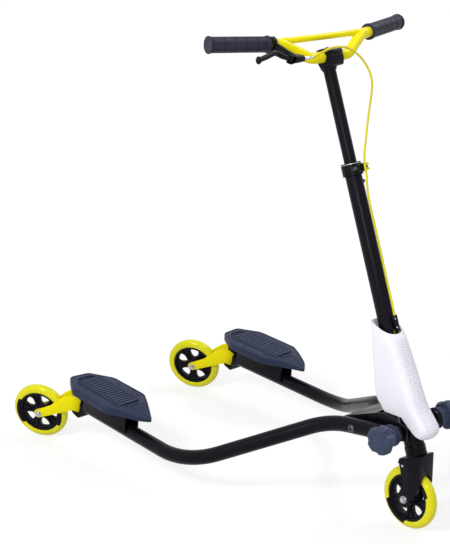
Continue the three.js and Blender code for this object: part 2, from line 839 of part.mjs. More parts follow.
function headBracketGeometry() {
  const rearX = -bracketBehind;
  const frontX = rearX + bracketLength;
  const faceAt = (x, depth) => {
    const onFace = toHead(0, -bracketFace - depth, 0);
    return onFace.y - (x - onFace.x) * Math.tan(converge);
  };
  const trapezoid = (depth, more) => [
    [rearX - more, faceAt(rearX - more, depth)], [rearX - more, -faceAt(rearX - more, depth)],
    [frontX + more, -faceAt(frontX + more, depth)], [frontX + more, faceAt(frontX + more, depth)],
  ];
  const top = bracketBottomRise + bracketHeight;
  const side = fromShares(bracketSideShares, bracketLength, bracketHeight, rearX, bracketBottomRise);
  const plan = flatPlate(trapezoid(0, 0), -overrun, top + overrun);
  const outer = overlapOf(sidePlate(side, 4 * overrun), plan);
  const [roofFrontX, roofFrontZ] = side.at(-2);
  const roofRearZ = side.at(-1)[1];
  const roofEnd = rearX + roofLength;
  const underRoof = [
    [rearX - overrun, -overrun], [roofEnd, -overrun], [roofFrontX, roofFrontZ - bracketWall],
    [rearX, roofRearZ - bracketWall], [rearX - overrun, roofRearZ - bracketWall - overrun / 2],
  ];
  const inside = flatPlate(trapezoid(bracketWall, overrun), -2 * overrun, top + 2 * overrun);
  const floorTop = floorRise + floorThickness;
  const wide = 2 * overrun;
  const ahead = block(-floorBehind, frontX + overrun, -wide, wide, floorTop, top + overrun);
  const below = block(-floorBehind, frontX + overrun, -wide, wide, -overrun, floorRise);
  const middle = block(roofEnd, -floorBehind, -wide, wide, -overrun, top + overrun);
  const spaces = [sidePlate(underRoof, 2 * wide), ahead, below, middle];
  const hollows = spaces.map((space) => overlapOf(space, inside));
  const bossLength = bracketFace - endPlateThickness / 2 - gap;
  const boss = rod(studBossRadius, bossLength + bracketWall, roundSides);
  boss.translate(studAhead, -bracketFace - bracketWall / 2 + bossLength / 2, studRise);
  fromFoldFrame(boss);
  const studRoot = -bracketFace - bracketWall / 2;
  const stud = rod(knobStudDiameter / 2, knobStudEnd - studRoot);
  stud.translate(studAhead, (knobStudEnd + studRoot) / 2, studRise);
  fromFoldFrame(stud);
  const pivotBore = rod(pivotBoltDiameter / 2 + gap, overrun).translate(0, -bracketFace, 0);
  fromFoldFrame(pivotBore);
  const shell = join(cut(outer, ...hollows), boss, mirrored(boss), stud, mirrored(stud));
  return cut(shell, headLineCylinder(headTubeRadius + gap), pivotBore, mirrored(pivotBore));
}

addPiece(head, "head_bracket", headBracketGeometry(), "blackPaint");

// Shroud: an open-ended shell, held by a web inside it that grips the head tube.
function shroudGeometry() {
  const place = (shares) => fromShares(shares, shroudLength, shroudHeight, -shroudBehind, shroudBottomRise);
  const outline = [...place(shroudRearShares), ...place(shroudFootShares), ...place(shroudFrontShares)];
  const inner = inset(outline, shroudWall);
  const rears = shroudRearShares.length;
  const fronts = shroudFrontShares.length;
  inner.forEach((point, i) => {
    const open = i >= rears && i < inner.length - fronts + 1;
    point[1] -= open ? overrun : 0;
  });
  for (const end of [0, inner.length - 1]) {
    const next = inner[end === 0 ? 1 : end - 1];
    const beyond = overrun / (inner[end][1] - next[1]);
    inner[end] = inner[end].map((value, k) => value + (value - next[k]) * beyond);
  }
  const top = outline.at(-1);
  const toe = outline.at(-fronts + 2);
  const slope = Math.atan2(toe[0] - top[0], top[1] - toe[1]);
  const front = (width, radius, back) => {
    const half = width / 2;
    const shape = new THREE.Shape();
    shape.moveTo(-4 * overrun, -half);
    shape.lineTo(-radius - back, -half);
    shape.quadraticCurveTo(-back, -half, -back, -half + radius);
    shape.lineTo(-back, half - radius);
    shape.quadraticCurveTo(-back, half, -radius - back, half);
    shape.lineTo(-4 * overrun, half);
    shape.closePath();
    const prism = flatPlate(shape, -8 * overrun, 8 * overrun, 4);
    return prism.rotateY(-slope).translate(toe[0], 0, toe[1]);
  };
  const outer = overlapOf(sidePlate(outline, shroudWidth), front(shroudWidth, shroudCornerRadius, 0));
  const innerWidth = shroudWidth - 2 * shroudWall;
  const innerFront = front(innerWidth, shroudCornerRadius - shroudWall, shroudWall);
  const hollow = overlapOf(sidePlate(inner, innerWidth), innerFront);
  const webTop = shroudWebRise + shroudWebThickness;
  const web = block(-2 * overrun, 2 * overrun, -shroudWidth, shroudWidth, shroudWebRise, webTop);
  web.rotateY(-rake).translate(crownX, 0, 0);
  const grip = cut(overlapOf(web, outer), headLineCylinder(headTubeRadius + gap));
  return join(cut(outer, hollow), grip);
}

addPiece(head, "shroud", shroudGeometry(), "whitePlastic");

// Column
const columnBore = upperColumnDiameter / 2 + gap;
const columnRadius = lowerColumnDiameter / 2;
const columnBottom = upperRaceTop + gap;
const columnTop = columnBottom + lowerColumnLength;
const upperColumnTop = columnTop + columnShowing;
const buttonRise = columnTop - buttonBelowTop;
const buttonAngle = buttonAngleDegrees * degree;
const buttonInside = columnBore + gap / 2 + buttonStroke;

function buttonBore(radius, from, to) {
  const bore = rod(radius, to - from).rotateZ(-quarterTurn).translate((from + to) / 2, 0, 0);
  return bore.rotateZ(buttonAngle).translate(0, 0, buttonRise);
}

function lowerColumnGeometry() {
  const tube = upright(ring(columnRadius, columnBore, columnBottom, columnTop));
  const slotTop = cableSlotBottom + cableSlotLength;
  const half = cableSlotWidth / 2;
  const slot = block(0, overrun, -half, half + cableDiameter, cableSlotBottom, slotTop);
  const slitBottom = columnTop - collarBelowTop;
  const slit = block(-overrun, 0, -slitWidth / 2, slitWidth / 2, slitBottom, columnTop + overrun);
  return cut(tube, slot, slit, buttonBore(buttonDiameter / 2 + gap, 0, overrun));
}

function upperColumnGeometry() {
  const outer = upperColumnDiameter / 2;
  const bottom = columnTop - upperColumnInsertion;
  const tube = upright(ring(outer, outer - upperColumnWall, bottom, upperColumnTop));
  return cut(tube, buttonBore(buttonDiameter / 2 + 2 * gap, 0, overrun));
}

const collarBottom = columnTop - collarBelowTop;
const collarTop = collarBottom + collarHeight;
const skewerRise = columnTop - skewerBelowTop;

function clampCollarGeometry() {
  const inner = columnRadius + gap;
  const band = upright(ring(inner + collarWall, inner, collarBottom, columnTop));
  const lip = upright(ring(inner + collarWall, columnBore, columnTop + gap, collarTop));
  const bridge = upright(ring(inner + collarWall, inner, columnTop - gap, collarTop));
  const lug = block(
    inner + collarWall / 2, lugReach, -lugHalfWidth, lugHalfWidth,
    skewerRise - lugHeight / 2, skewerRise + lugHeight / 2,
  );
  const slit = block(0, overrun, -slitWidth / 2, slitWidth / 2, collarBottom - overrun, collarTop + overrun);
  const hole = rod(skewerDiameter / 2 + gap, overrun).translate(skewerReach, 0, skewerRise);
  return cut(join(band, bridge, lip, lug), slit, hole);
}

addPiece(steering, "lower_column", lowerColumnGeometry(), "blackPaint");
addPiece(steering, "clamp_collar", clampCollarGeometry(), "blackPaint");

// Clamp frame: on the lever's cam pin, left of the collar's lugs.
const camOut = lugHalfWidth + gap + camRadius;
const clamp = addGroup(steering, skewerReach, camOut, skewerRise);
const eyeSlot = skewerDiameter + 2 * gap;

function clampBoltGeometry() {
  const nutFace = -lugHalfWidth - gap;
  const shaftStart = nutFace - skewerNutHeight / 2;
  const shaftEnd = camOut - eyeRadius / 2;
  const shaft = rod(skewerDiameter / 2, shaftEnd - shaftStart).translate(0, (shaftEnd + shaftStart) / 2, 0);
  const nut = rod(skewerNutRadius, skewerNutHeight).translate(0, nutFace - skewerNutHeight / 2, 0);
  const eye = upright(rod(eyeRadius, skewerDiameter)).translate(0, camOut, 0);
  const pinHole = upright(rod(camPinRadius + gap, overrun)).translate(0, camOut, 0);
  return cut(join(shaft, nut, eye), pinHole);
}

function clampLeverGeometry() {
  const cheeks = upright(rod(camRadius, camHeight, roundSides));
  const slot = block(-eyeRadius - gap, camRadius + overrun, -overrun, overrun, -eyeSlot / 2, eyeSlot / 2);
  const pin = upright(rod(camPinRadius, camHeight));
  const half = leverThickness / 2;
  const outline = roundedShape([
    [0, -half], [-leverSetback, leverBow - half], [leverSetback - leverLength, leverBow - half],
    [-leverLength, -leverTipDrop - half], [-leverLength, half - leverTipDrop],
    [leverSetback - leverLength, leverBow + half], [-leverSetback, leverBow + half], [0, half],
  ], leverThickness);
  const blade = flatPlate(outline, -camHeight / 2 + gap, camHeight / 2 - gap, 2);
  return join(cut(join(cheeks, blade), slot), pin);
}

const clampBolt = addPiece(steering, "clamp_bolt", clampBoltGeometry(), "steel");
clampBolt.position.set(skewerReach, 0, skewerRise);
addPiece(clamp, "clamp_lever", clampLeverGeometry(), "yellowPaint");
addPiece(
  steering, "snap_button",
  buttonBore(buttonDiameter / 2, buttonInside, columnRadius + buttonProud), "yellowPaint",
);

// Handlebar frame: on the column line at the bar's height. It slides with the upper column.
const barRise = upperColumnTop + saddleDepth;
const handlebar = addGroup(steering, barForward, 0, barRise);
const barRadius = barDiameter / 2;

function addInHandlebar(name, geometry, finish) {
  return addPiece(handlebar, name, geometry, finish);
}

const upperColumn = upperColumnGeometry().translate(-barForward, 0, -barRise);
addInHandlebar("upper_column", upperColumn, "blackPaint");

const lowerBend = new THREE.Vector3(0, lowerBendOut, 0);
const gripStart = new THREE.Vector3(-gripStartBack, gripStartOut, gripStartRise);
const gripEnd = new THREE.Vector3(-gripEndBack, gripEndOut, gripEndRise);
const gripAlong = gripEnd.clone().sub(gripStart).normalize();
const gripLength = gripEnd.distanceTo(gripStart);
const upperBend = gripStart.clone().addScaledVector(gripAlong, (upperBendOut - gripStartOut) / gripAlong.y);
const barEnd = gripEnd.clone().addScaledVector(gripAlong, -gripCapThickness - gap);

function barPath() {
  const left = [lowerBend, upperBend, barEnd];
  const right = left.map((place) => new THREE.Vector3(place.x, -place.y, place.z)).reverse();
  return new BentPath([...right, ...left], barBendRadius, barBendSteps);
}

const solidBar = bentTube(barPath(), barRadius + gap, 0, barSides);
addInHandlebar("handlebar", bentTube(barPath(), barRadius, barRadius - barWall, barSides), "yellowPaint");
const crossbar = rod(crossbarDiameter / 2, 2 * upperBendOut).translate(upperBend.x, 0, crossbarRise);
addInHandlebar("crossbar", cut(crossbar, solidBar), "yellowPaint");

function stemGeometry(profile) {
  return cut(sidePlate(profile, stemWidth), solidBar);
}

const halfStem = stemLength / 2;
const stemShoulder = stemCapHeight * stemShoulderShare;
const stemFlat = halfStem * stemFlatShare;
const capProfile = [
  [-halfStem, gap], [halfStem, gap], [halfStem, stemShoulder], [stemFlat, stemCapHeight],
  [-stemFlat, stemCapHeight], [-halfStem, stemShoulder],
];
addInHandlebar("stem_cap", stemGeometry(capProfile), "blackPaint");

function stemSaddleGeometry() {
  const bottom = -saddleDepth + gap;
  const profile = [
    [-halfStem, -gap], [-halfStem, -stemShoulder], [-stemFlat, bottom], [stemFlat, bottom],
    [halfStem, -stemShoulder], [halfStem, -gap],
  ];
  const outer = upperColumnDiameter / 2 + gap + saddleSleeveWall;
  const sleeve = upright(ring(outer, columnBore, bottom - saddleSleeveLength, bottom));
  sleeve.translate(-barForward, 0, 0);
  const crownPlate = upright(rod(outer, saddleSleeveWall, tubeSides));
  crownPlate.translate(-barForward, 0, bottom + saddleSleeveWall / 2);
  return join(stemGeometry(profile), cut(crownPlate, solidBar), sleeve);
}

addInHandlebar("stem_saddle", stemSaddleGeometry(), "blackPaint");

function placeAlongGrip(geometry, start) {
  const turn = new THREE.Quaternion().setFromUnitVectors(alongY, gripAlong);
  return geometry.applyQuaternion(turn).translate(start.x, start.y, start.z);
}

function gripGeometry() {
  const body = gripDiameter / 2;
  const flange = gripFlangeDiameter / 2;
  const bore = barRadius + gap;
  const inside = gripLength - gripCapThickness;
  const profile = [
    [bore, 0], [flange, 0], [flange, gripFlangeWidth], [body, gripFlangeWidth + (flange - body)],
    [body, gripLength - gripFlangeWidth - (flange - body)], [flange, gripLength - gripFlangeWidth],
    [flange, gripLength - (flange - body)], [body, gripLength], [0, gripLength], [0, inside], [bore, inside],
  ];
  return placeAlongGrip(lathe(profile), gripStart);
}

addInHandlebar("grip_left", gripGeometry(), "gripRubber");
addInHandlebar("grip_right", mirrored(gripGeometry()), "gripRubber");

// Brake lever, under the right grip.
const leverClampPlace = gripStart.clone().addScaledVector(gripAlong, -leverClampInset);
const leverPivot = new THREE.Vector3(leverPivotForward - barForward, leverPivotOut, leverPivotRise);
const housingEnd = new THREE.Vector3(leverPivot.x + leverHousingLead, leverHousingOut, leverHousingRise);
const bladeKnee = new THREE.Vector3(leverPivot.x + leverHousingLead, bladeKneeOut, bladeKneeRise);
const bladeTip = new THREE.Vector3(bladeTipForward - barForward, bladeTipOut, bladeTipRise);
const bladeMiddle = bladeKnee.clone().add(bladeTip).divideScalar(2);
const gripMiddle = gripStart.clone().add(gripEnd).divideScalar(2);
const squeeze = gripMiddle.clone().sub(bladeMiddle).setY(0).normalize();
const bladeAlong = bladeTip.clone().sub(leverPivot).normalize();
const leverAxis = bladeAlong.clone().cross(squeeze).normalize();

function aboutLeverAxis(geometry) {
  const turn = new THREE.Quaternion().setFromUnitVectors(alongY, leverAxis);
  return geometry.applyQuaternion(turn);
}

const housingStart = new THREE.Vector3(leverPivot.x, leverPivotOut - leverHousingInset, leverPivotRise);
const hubHeight = 2 * bladeHubRadius;
const slotHeight = hubHeight + 4 * gap;
const earSpan = slotHeight + 2 * leverEarThickness;

function leverBodyGeometry() {
  const outer = barRadius + gap + leverClampWall;
  const halfBand = leverClampWidth / 2;
  const band = placeAlongGrip(ring(outer, barRadius + gap, -halfBand, halfBand), leverClampPlace);
  const armStart = leverClampPlace.clone().addScaledVector(squeeze, -barRadius - gap - leverClampWall / 2);
  const inBand = placeAlongGrip(rod(outer - leverClampWall / 2, overrun), leverClampPlace);
  const neck = cut(rodBetween(armStart, housingStart, leverNeckRadius, leverNeckRadius), inBand);
  const housing = rodBetween(housingStart, housingEnd, leverHousingRadius, leverHousingEndRadius);
  const onPivot = (geometry) => aboutLeverAxis(geometry).translate(...leverPivot.toArray());
  const ears = onPivot(rod(leverEarRadius, earSpan));
  const slot = onPivot(rod(leverSwingRadius, slotHeight, tubeSides));
  const pinHole = onPivot(rod(leverPinRadius + gap, overrun));
  const knee = bladeKnee.clone().sub(leverPivot);
  const origin = new THREE.Vector3();
  const room = 2 * gap;
  const sweep = [];
  for (let k = 0; k <= leverSqueezeSteps; k += 1) {
    const turn = (leverSqueezeDegrees * degree * k) / leverSqueezeSteps;
    const blade = rodBetween(origin, knee, bladeRootRadius + room, bladeRadius + room, leverSides);
    blade.applyQuaternion(new THREE.Quaternion().setFromAxisAngle(leverAxis, turn));
    sweep.push(blade.translate(...leverPivot.toArray()));
  }
  return cut(join(band, neck, housing, ears), slot, pinHole, ...sweep);
}

function brakeLeverGeometry() {
  const hub = aboutLeverAxis(rod(bladeHubRadius, hubHeight));
  const pin = aboutLeverAxis(rod(leverPinRadius, earSpan));
  const origin = new THREE.Vector3();
  const knee = bladeKnee.clone().sub(leverPivot);
  const tip = bladeTip.clone().sub(leverPivot);
  const round = (radius) => new THREE.SphereGeometry(radius, leverSides, hexSides);
  return join(
    hub, pin,
    rodBetween(origin, knee, bladeRootRadius, bladeRadius, leverSides),
    round(bladeRadius).translate(...knee.toArray()),
    rodBetween(knee, tip, bladeRadius, bladeEndRadius, leverSides),
    round(bladeBallRadius).translate(...tip.toArray()),
  );
}

addInHandlebar("lever_body", mirrored(leverBodyGeometry()), "blackPlastic");
const brakeLever = addGroup(handlebar, leverPivot.x, -leverPivot.y, leverPivot.z);
addPiece(brakeLever, "brake_lever", mirrored(brakeLeverGeometry()), "blackPlastic");
const adjusterAlong = housingEnd.clone().sub(housingStart).normalize();
const adjusterStart = housingEnd.clone().addScaledVector(adjusterAlong, gap);
const adjusterEnd = adjusterStart.clone().addScaledVector(adjusterAlong, adjusterLength);
const adjuster = rodBetween(adjusterStart, adjusterEnd, adjusterRadius, adjusterEndRadius);
addInHandlebar("barrel_adjuster", mirrored(adjuster), "steel");

// Cable route in the steering frame, from the adjuster down the column to the brake arm.
const cableRoute = [
  [31.6, -85, 889.6], [35.5, -72, 891], [44, -48, 898], [49, -30, 902], [50, -11, 902],
  [50, 10, 900], [50, 30, 891], [50, 48, 877], [50, 60, 861], [50, 68, 843],
  [50, 70, 828], [50, 68, 812], [50, 61, 795], [49, 53, 778], [45, 36, 739],
  [41, 24, 706], [37.5, 15, 680], [34.6, 11, 665], [32.8, 9, 650], [32.2, 8, 637],
  [31, 8, 622], [27.5, 8, 606], [23.8, 8, 588], [21.9, 8, 569], [21.9, 8, 540],
  [21.9, 8, 506], [21.9, 8, 470], [21.8, 7.5, 430], [21.7, 7, 390], [21.8, 7, 355],
  [22, 6.5, 335], [22, 6, 318], [21.2, 5.5, 306], [18.5, 5, 293], [14.5, 4, 280],
  [9.5, 2.6, 266], [5, 1.2, 250], [2, 0.4, 228], [0.5, 0, 205], [0, 0, 180],
  [0, 0, 140], [0, 0, 90], [0, 0, 40], [0, 0, 10], [0.4, 0, -6],
  [1, 0, -13],
];

function cableCurve() {
  const places = cableRoute.map((place) => new THREE.Vector3(...place));
  return new THREE.CatmullRomCurve3(places, false, "centripetal");
}

function cableGeometry(radius) {
  const settings = { extrudePath: cableCurve(), steps: cableSteps, curveSegments: cableSides / 2 };
  return new THREE.ExtrudeGeometry(roundSection(radius), settings);
}

addPiece(steering, "brake_cable", cableGeometry(cableDiameter / 2), "cableSheath");

function cableGuideGeometry() {
  const near = columnRadius + gap;
  const half = guideWidth / 2;
  const middle = cableDiameter;
  const body = block(
    0, columnRadius + guideDepth, middle - half, middle + half, guideBottom, guideBottom + guideLength,
  );
  const column = upright(rod(near, 4 * overrun, tubeSides)).translate(0, 0, guideBottom);
  const swing = shroudWidth / 2 - shroudWall - guideSwingClearance;
  const room = upright(rod(swing, 4 * overrun, wheelSides)).translate(0, 0, guideBottom);
  return cut(overlapOf(body, room), column, cableGeometry(cableDiameter / 2 + 2 * gap));
}

addPiece(steering, "cable_guide", cableGuideGeometry(), "blackPlastic");

// Caster frame on the left, in the head frame: on the swivel line, Z up along it.
const casterLean = casterLeanDegrees * degree;
const casterTurn = casterTurnDegrees * degree;
const casterPlace = new THREE.Vector3(-casterBehind, casterOut, casterRiseAboveAxle - forkHeight);

function fromCasterFrame(geometry) {
  return geometry.rotateY(casterLean).translate(casterPlace.x, casterPlace.y, casterPlace.z);
}

function casterPoint(x, y, z) {
  return new THREE.Vector3(x, y, z).applyAxisAngle(alongY, casterLean).add(casterPlace);
}

// The rear axle's depth below the swivel point that puts the turned, leaning tyre on the ground.
const crownRadius = tyreWidth / 2;
const wheelLean = Math.asin(Math.sin(casterLean) * Math.sin(casterTurn));
const axleOverGround = (wheelRadius - crownRadius) * Math.cos(wheelLean) + crownRadius;
const turnLoss = 1 - Math.cos(casterTurn);
const swivelOverGround = wheelRadius + casterRiseAboveAxle;
const tiltShare = Math.sin(casterLean) * Math.cos(casterLean);
const axleDepth =
  (swivelOverGround - axleOverGround - casterTrail * tiltShare * turnLoss) /
  (Math.cos(casterTurn) + Math.cos(casterLean) ** 2 * turnLoss);
const rearAxleX = -casterTrail * Math.cos(casterLean) + axleDepth * Math.sin(casterLean);
const rearAxleZ = -casterTrail * Math.sin(casterLean) - axleDepth * Math.cos(casterLean);

// Arm: tube and the yoke that holds the caster, as one weldment, with a plate let into its nose.
const yokeOuter = yokeWallAhead + yokeWall;

function armRoute() {
  const nose = toHead(armNose, 0, armNose * Math.tan(armRise));
  const frontBend = toHead(-frontBendBehindPivot, 0, -frontBendBehindPivot * Math.tan(armRise));
  const rearBend = new THREE.Vector3(-rearBendBehind, rearBendOut, -rearBendDrop);
  const rearEnd = casterPoint(yokeWallAhead + yokeWall / 2, 0, armMeetsYokeRise);
  return [nose, frontBend, rearBend, rearEnd];
}

function yokeGeometry() {
  const half = yokeWidth / 2;
  const bottom = -yokeBottomDrop;
  const wall = block(yokeWallAhead, yokeOuter, -half, half, bottom, bottom + yokeWallHeight);
  const plateShape = new THREE.Shape();
  plateShape.moveTo(yokeOuter, half);
  plateShape.absarc(0, 0, half, quarterTurn, 3 * quarterTurn);
  plateShape.lineTo(yokeOuter, -half);
  plateShape.closePath();
  const lower = flatPlate(plateShape, bottom, bottom + yokeWall, 5);
  const upperBottom = bottom + yokeWall + yokeGapHeight;
  const upper = flatPlate(plateShape, upperBottom, upperBottom + yokeWall, 5);
  const bolt = upright(rod(swivelBoltDiameter / 2 + gap, 4 * overrun));
  return fromCasterFrame(cut(join(wall, lower, upper), bolt));
}

function armTubeGeometry(radius, bore) {
  const [nose, frontBend, rearBend, rearEnd] = armRoute();
  const path = new BentPath([nose, frontBend, rearBend, rearEnd], rearBendRadius, armBendSteps);
  const frontPath = new BentPath([nose, frontBend, rearBend], frontBendRadius, armBendSteps);
  const bendStations = armBendSteps + 1;
  path.stations.splice(1, bendStations, ...frontPath.stations.slice(1, 1 + bendStations));
  path.directions.splice(1, bendStations, ...frontPath.directions.slice(1, 1 + bendStations));
  const beyond = rearEnd.clone().addScaledVector(rearEnd.clone().sub(rearBend).normalize(), armRadius);
  path.stations[path.steps].copy(beyond);
  return bentTube(path, radius, bore, armSides);
}

function endPlateGeometry() {
  const arc = endPlateArcDegrees * degree;
  const outline = new THREE.Shape();
  outline.moveTo(armNose - endPlateInset, endPlateNeck);
  outline.lineTo(armNose - endPlateInset, -endPlateNeck);
  outline.lineTo(endPlateNeckAhead, -endPlateNeck);
  outline.absarc(studAhead, 0, endPlateRadius, -arc, arc);
  outline.closePath();
  const plate = sidePlate(outline, endPlateThickness, 6).rotateY(-armRise);
  const slotHalf = knobStudDiameter / 2 + 2 * gap;
  const slot = new THREE.Shape();
  slot.moveTo(studAhead + slotHalf, 0);
  slot.lineTo(studAhead + slotHalf - gap, overrun);
  slot.lineTo(studAhead - slotHalf - studSlotFlare, overrun);
  slot.lineTo(studAhead - slotHalf, 0);
  slot.absarc(studAhead, 0, slotHalf, Math.PI, 2 * Math.PI);
  const slotCutter = sidePlate(slot, endPlateThickness + 2 * gap, 4).translate(0, 0, studRise);
  return fromFoldFrame(cut(plate, slotCutter));
}

function armGeometry() {
  const behindYoke = fromCasterFrame(block(
    -2 * overrun, yokeWallAhead + yokeWall / 2, -overrun, overrun, -overrun, overrun,
  ));
  const tube = cut(armTubeGeometry(armRadius, armRadius - armWall), behindYoke);
  const cap = rod(armRadius - armWall / 2, armWall, roundSides).rotateZ(-quarterTurn);
  fromFoldFrame(cap.translate(armNose - armWall, 0, 0).rotateY(-armRise));
  const halfSeat = endPlateThickness / 2 + gap;
  const seatRear = armNose - endPlateInset - gap;
  const seat = block(seatRear, armNose + overrun, -halfSeat, halfSeat, -overrun, overrun);
  fromFoldFrame(seat.rotateY(-armRise));
  const boltHole = fromFoldFrame(rod(pivotBoltDiameter / 2 + gap, 2 * overrun));
  const vent = upright(rod(ventDiameter / 2, armRadius));
  const ventPlace = casterPoint(yokeOuter + armDiameter, 0, armMeetsYokeRise);
  vent.translate(ventPlace.x, ventPlace.y, ventPlace.z - armRadius);
  return cut(join(tube, cap, yokeGeometry()), seat, boltHole, vent);
}

function pivotBoltGeometry() {
  const outside = armRadius + gap;
  const inside = -bracketFace - bracketWall - gap;
  const shaft = rod(pivotBoltDiameter / 2, outside - inside).translate(0, (outside + inside) / 2, 0);
  const domed = new THREE.CylinderGeometry(pivotHeadTopRadius, pivotHeadRadius, pivotHeadHeight, roundSides);
  domed.translate(0, outside + pivotHeadHeight / 2, 0);
  const nut = rod(hexRadius, pivotNutHeight, hexSides).translate(0, inside - pivotNutHeight / 2, 0);
  return join(shaft, domed, nut);
}

// Knob, about Y through the bracket's stud, from the end plate outward.
function knobGeometry() {
  const skirt = rod(knobSkirtRadius, knobSkirtDepth, tubeSides);
  skirt.translate(0, knobStart + knobSkirtDepth / 2, 0);
  const bodyStart = knobStart + knobSkirtDepth;
  const boreEnd = knobStudEnd + gap;
  const bore = rod(knobStudDiameter / 2 + gap, 2 * boreEnd);
  const bodyEnd = bodyStart + knobDepth;
  const body = upright(lathe([
    [0, bodyStart], [knobBackRadius, bodyStart], [knobRadius, bodyStart + knobEdge],
    [knobRadius, bodyEnd - knobEdge], [knobFaceRadius, bodyEnd], [0, bodyEnd],
  ], knobSides)).rotateX(-quarterTurn);
  const scoops = [];
  for (let k = 0; k < knobLobes; k += 1) {
    const scoop = rod(knobScoopRadius, overrun);
    scoop.translate(knobScoopOut, bodyStart + knobEdge + overrun / 2, 0);
    scoops.push(scoop.rotateY(knobScoopTurnDegrees * degree + (k * 2 * Math.PI) / knobLobes));
  }
  return cut(join(skirt, cut(body, ...scoops)), bore);
}

// Rear fork, in the caster frame turned about the swivel line.
function rearForkGeometry() {
  const half = rearForkWidth / 2;
  const bottom = -yokeBottomDrop + yokeWall + gap;
  const top = bottom + yokeGapHeight - 2 * gap;
  const foldX = -rearForkFoldBehind;
  const plan = (outline) => [
    [outline.rear, outline.half], [foldX, outline.half], [outline.nose, outline.noseHalf],
    [outline.nose, -outline.noseHalf], [foldX, -outline.half], [outline.rear, -outline.half],
  ];
  const outerPlan = plan({
    rear: rearAxleX - overrun, half, nose: rearForkNoseAhead, noseHalf: rearForkNoseHalfWidth,
  });
  const innerHalf = half - rearForkWall;
  const innerPlan = plan({
    rear: rearAxleX - 2 * overrun, half: innerHalf, nose: rearForkNoseAhead - rearForkWall,
    noseHalf: rearForkNoseHalfWidth - rearForkWall / 2,
  });
  const side = new THREE.Shape();
  side.moveTo(rearForkNoseAhead, bottom);
  side.lineTo(rearForkNoseAhead, top);
  side.lineTo(foldX, top);
  const [handle, lowHandle, endOfCurve] = fromShares(rearForkTopShares, rearAxleX, rearAxleZ);
  side.bezierCurveTo(handle[0], top, ...lowHandle, ...endOfCurve);
  const endAngle = rearForkEndDegrees * degree;
  side.absarc(rearAxleX, rearAxleZ, rearForkEndRadius, endAngle, endAngle + 2 * quarterTurn);
  side.lineTo(foldX, bottom + rearForkFootRise);
  side.closePath();
  const sheet = overlapOf(sidePlate(side, rearForkWidth, 5), flatPlate(outerPlan, -2 * overrun, overrun));
  const webBehind = -yokeWidth / 2;
  const housing = block(webBehind, overrun, -overrun, overrun, bottom + rearForkWall, top - rearForkWall);
  const open = block(-4 * overrun, webBehind, -overrun, overrun, -4 * overrun, overrun);
  const inside = flatPlate(innerPlan, -4 * overrun, overrun);
  const hollow = join(overlapOf(housing, inside), overlapOf(open, inside));
  return cut(
    sheet, hollow, upright(rod(swivelBoltDiameter / 2 + gap, 4 * overrun)),
    rod(axleHole, 2 * overrun).translate(rearAxleX, 0, rearAxleZ),
  );
}

function swivelBoltGeometry() {
  const bottom = -yokeBottomDrop - gap;
  const top = -yokeBottomDrop + 2 * yokeWall + yokeGapHeight + gap;
  const shaft = upright(rod(swivelBoltDiameter / 2, top - bottom)).translate(0, 0, (top + bottom) / 2);
  const hexAt = (z) => upright(rod(hexRadius, swivelHeadHeight, hexSides)).translate(0, 0, z);
  return join(shaft, hexAt(bottom - swivelHeadHeight / 2), hexAt(top + swivelHeadHeight / 2));
}

// Deck frame on the left: above the arm's rear straight and in line with it.
const [, , rearBendPlace, rearEndPlace] = armRoute();
const straightAhead = rearBendPlace.clone().sub(rearEndPlace).normalize();
const deckYaw = Math.atan2(straightAhead.y, straightAhead.x);
const deckPitch = -Math.atan2(straightAhead.z, Math.hypot(straightAhead.x, straightAhead.y));
const deckPlace = rearBendPlace.clone().lerp(rearEndPlace, deckBehindBendShare);

function fromDeckFrame(geometry) {
  geometry.rotateY(deckPitch).rotateZ(deckYaw);
  return geometry.translate(deckPlace.x, deckPlace.y, deckPlace.z);
}

function deckGeometry() {
  const place = (shares) => shares.map(([along, out]) => [along * deckLength, out * deckWidth - deckInset]);
  const outline = place(deckOutlineShares);
  const bottom = deckRise - deckDepth;
  const tip = deckLength / 2 + deckInset;
  const noseStart = deckLength / 2 - deckNoseLength;
  const outer = flatPlate(roundedShape(outline, deckCornerRadius), bottom - deckNoseDrop, deckRise, 3);
  const inner = flatPlate(
    roundedShape(inset(outline, deckSkirtWall), deckCornerRadius - deckSkirtWall),
    bottom - overrun, deckRise - deckTopThickness, 3,
  );
  const sideOutline = (drop, more) => [
    [-deckLength, bottom - more], [-deckLength, deckRise - drop],
    [noseStart + deckNoseLevel, deckRise - drop],
    [tip, deckRise - deckNoseDrop - drop], [tip, bottom - deckNoseDrop - more], [noseStart, bottom - more],
  ];
  const body = overlapOf(outer, sidePlate(sideOutline(0, 0), 4 * overrun));
  const hollow = overlapOf(inner, sidePlate(sideOutline(deckTopThickness, overrun), 4 * overrun));
  return fromDeckFrame(cut(body, hollow));
}

function deckBracketGeometry() {
  const inside = armRadius + gap;
  const outside = inside + deckBracketWall;
  const top = deckRise - deckTopThickness - gap;
  const channel = block(-deckBracketBehind, deckBracketAhead, -outside, outside, 0, top);
  const hollow = block(-deckLength, deckLength, -inside, inside, -overrun, top - deckBracketWall);
  return fromDeckFrame(cut(channel, hollow));
}

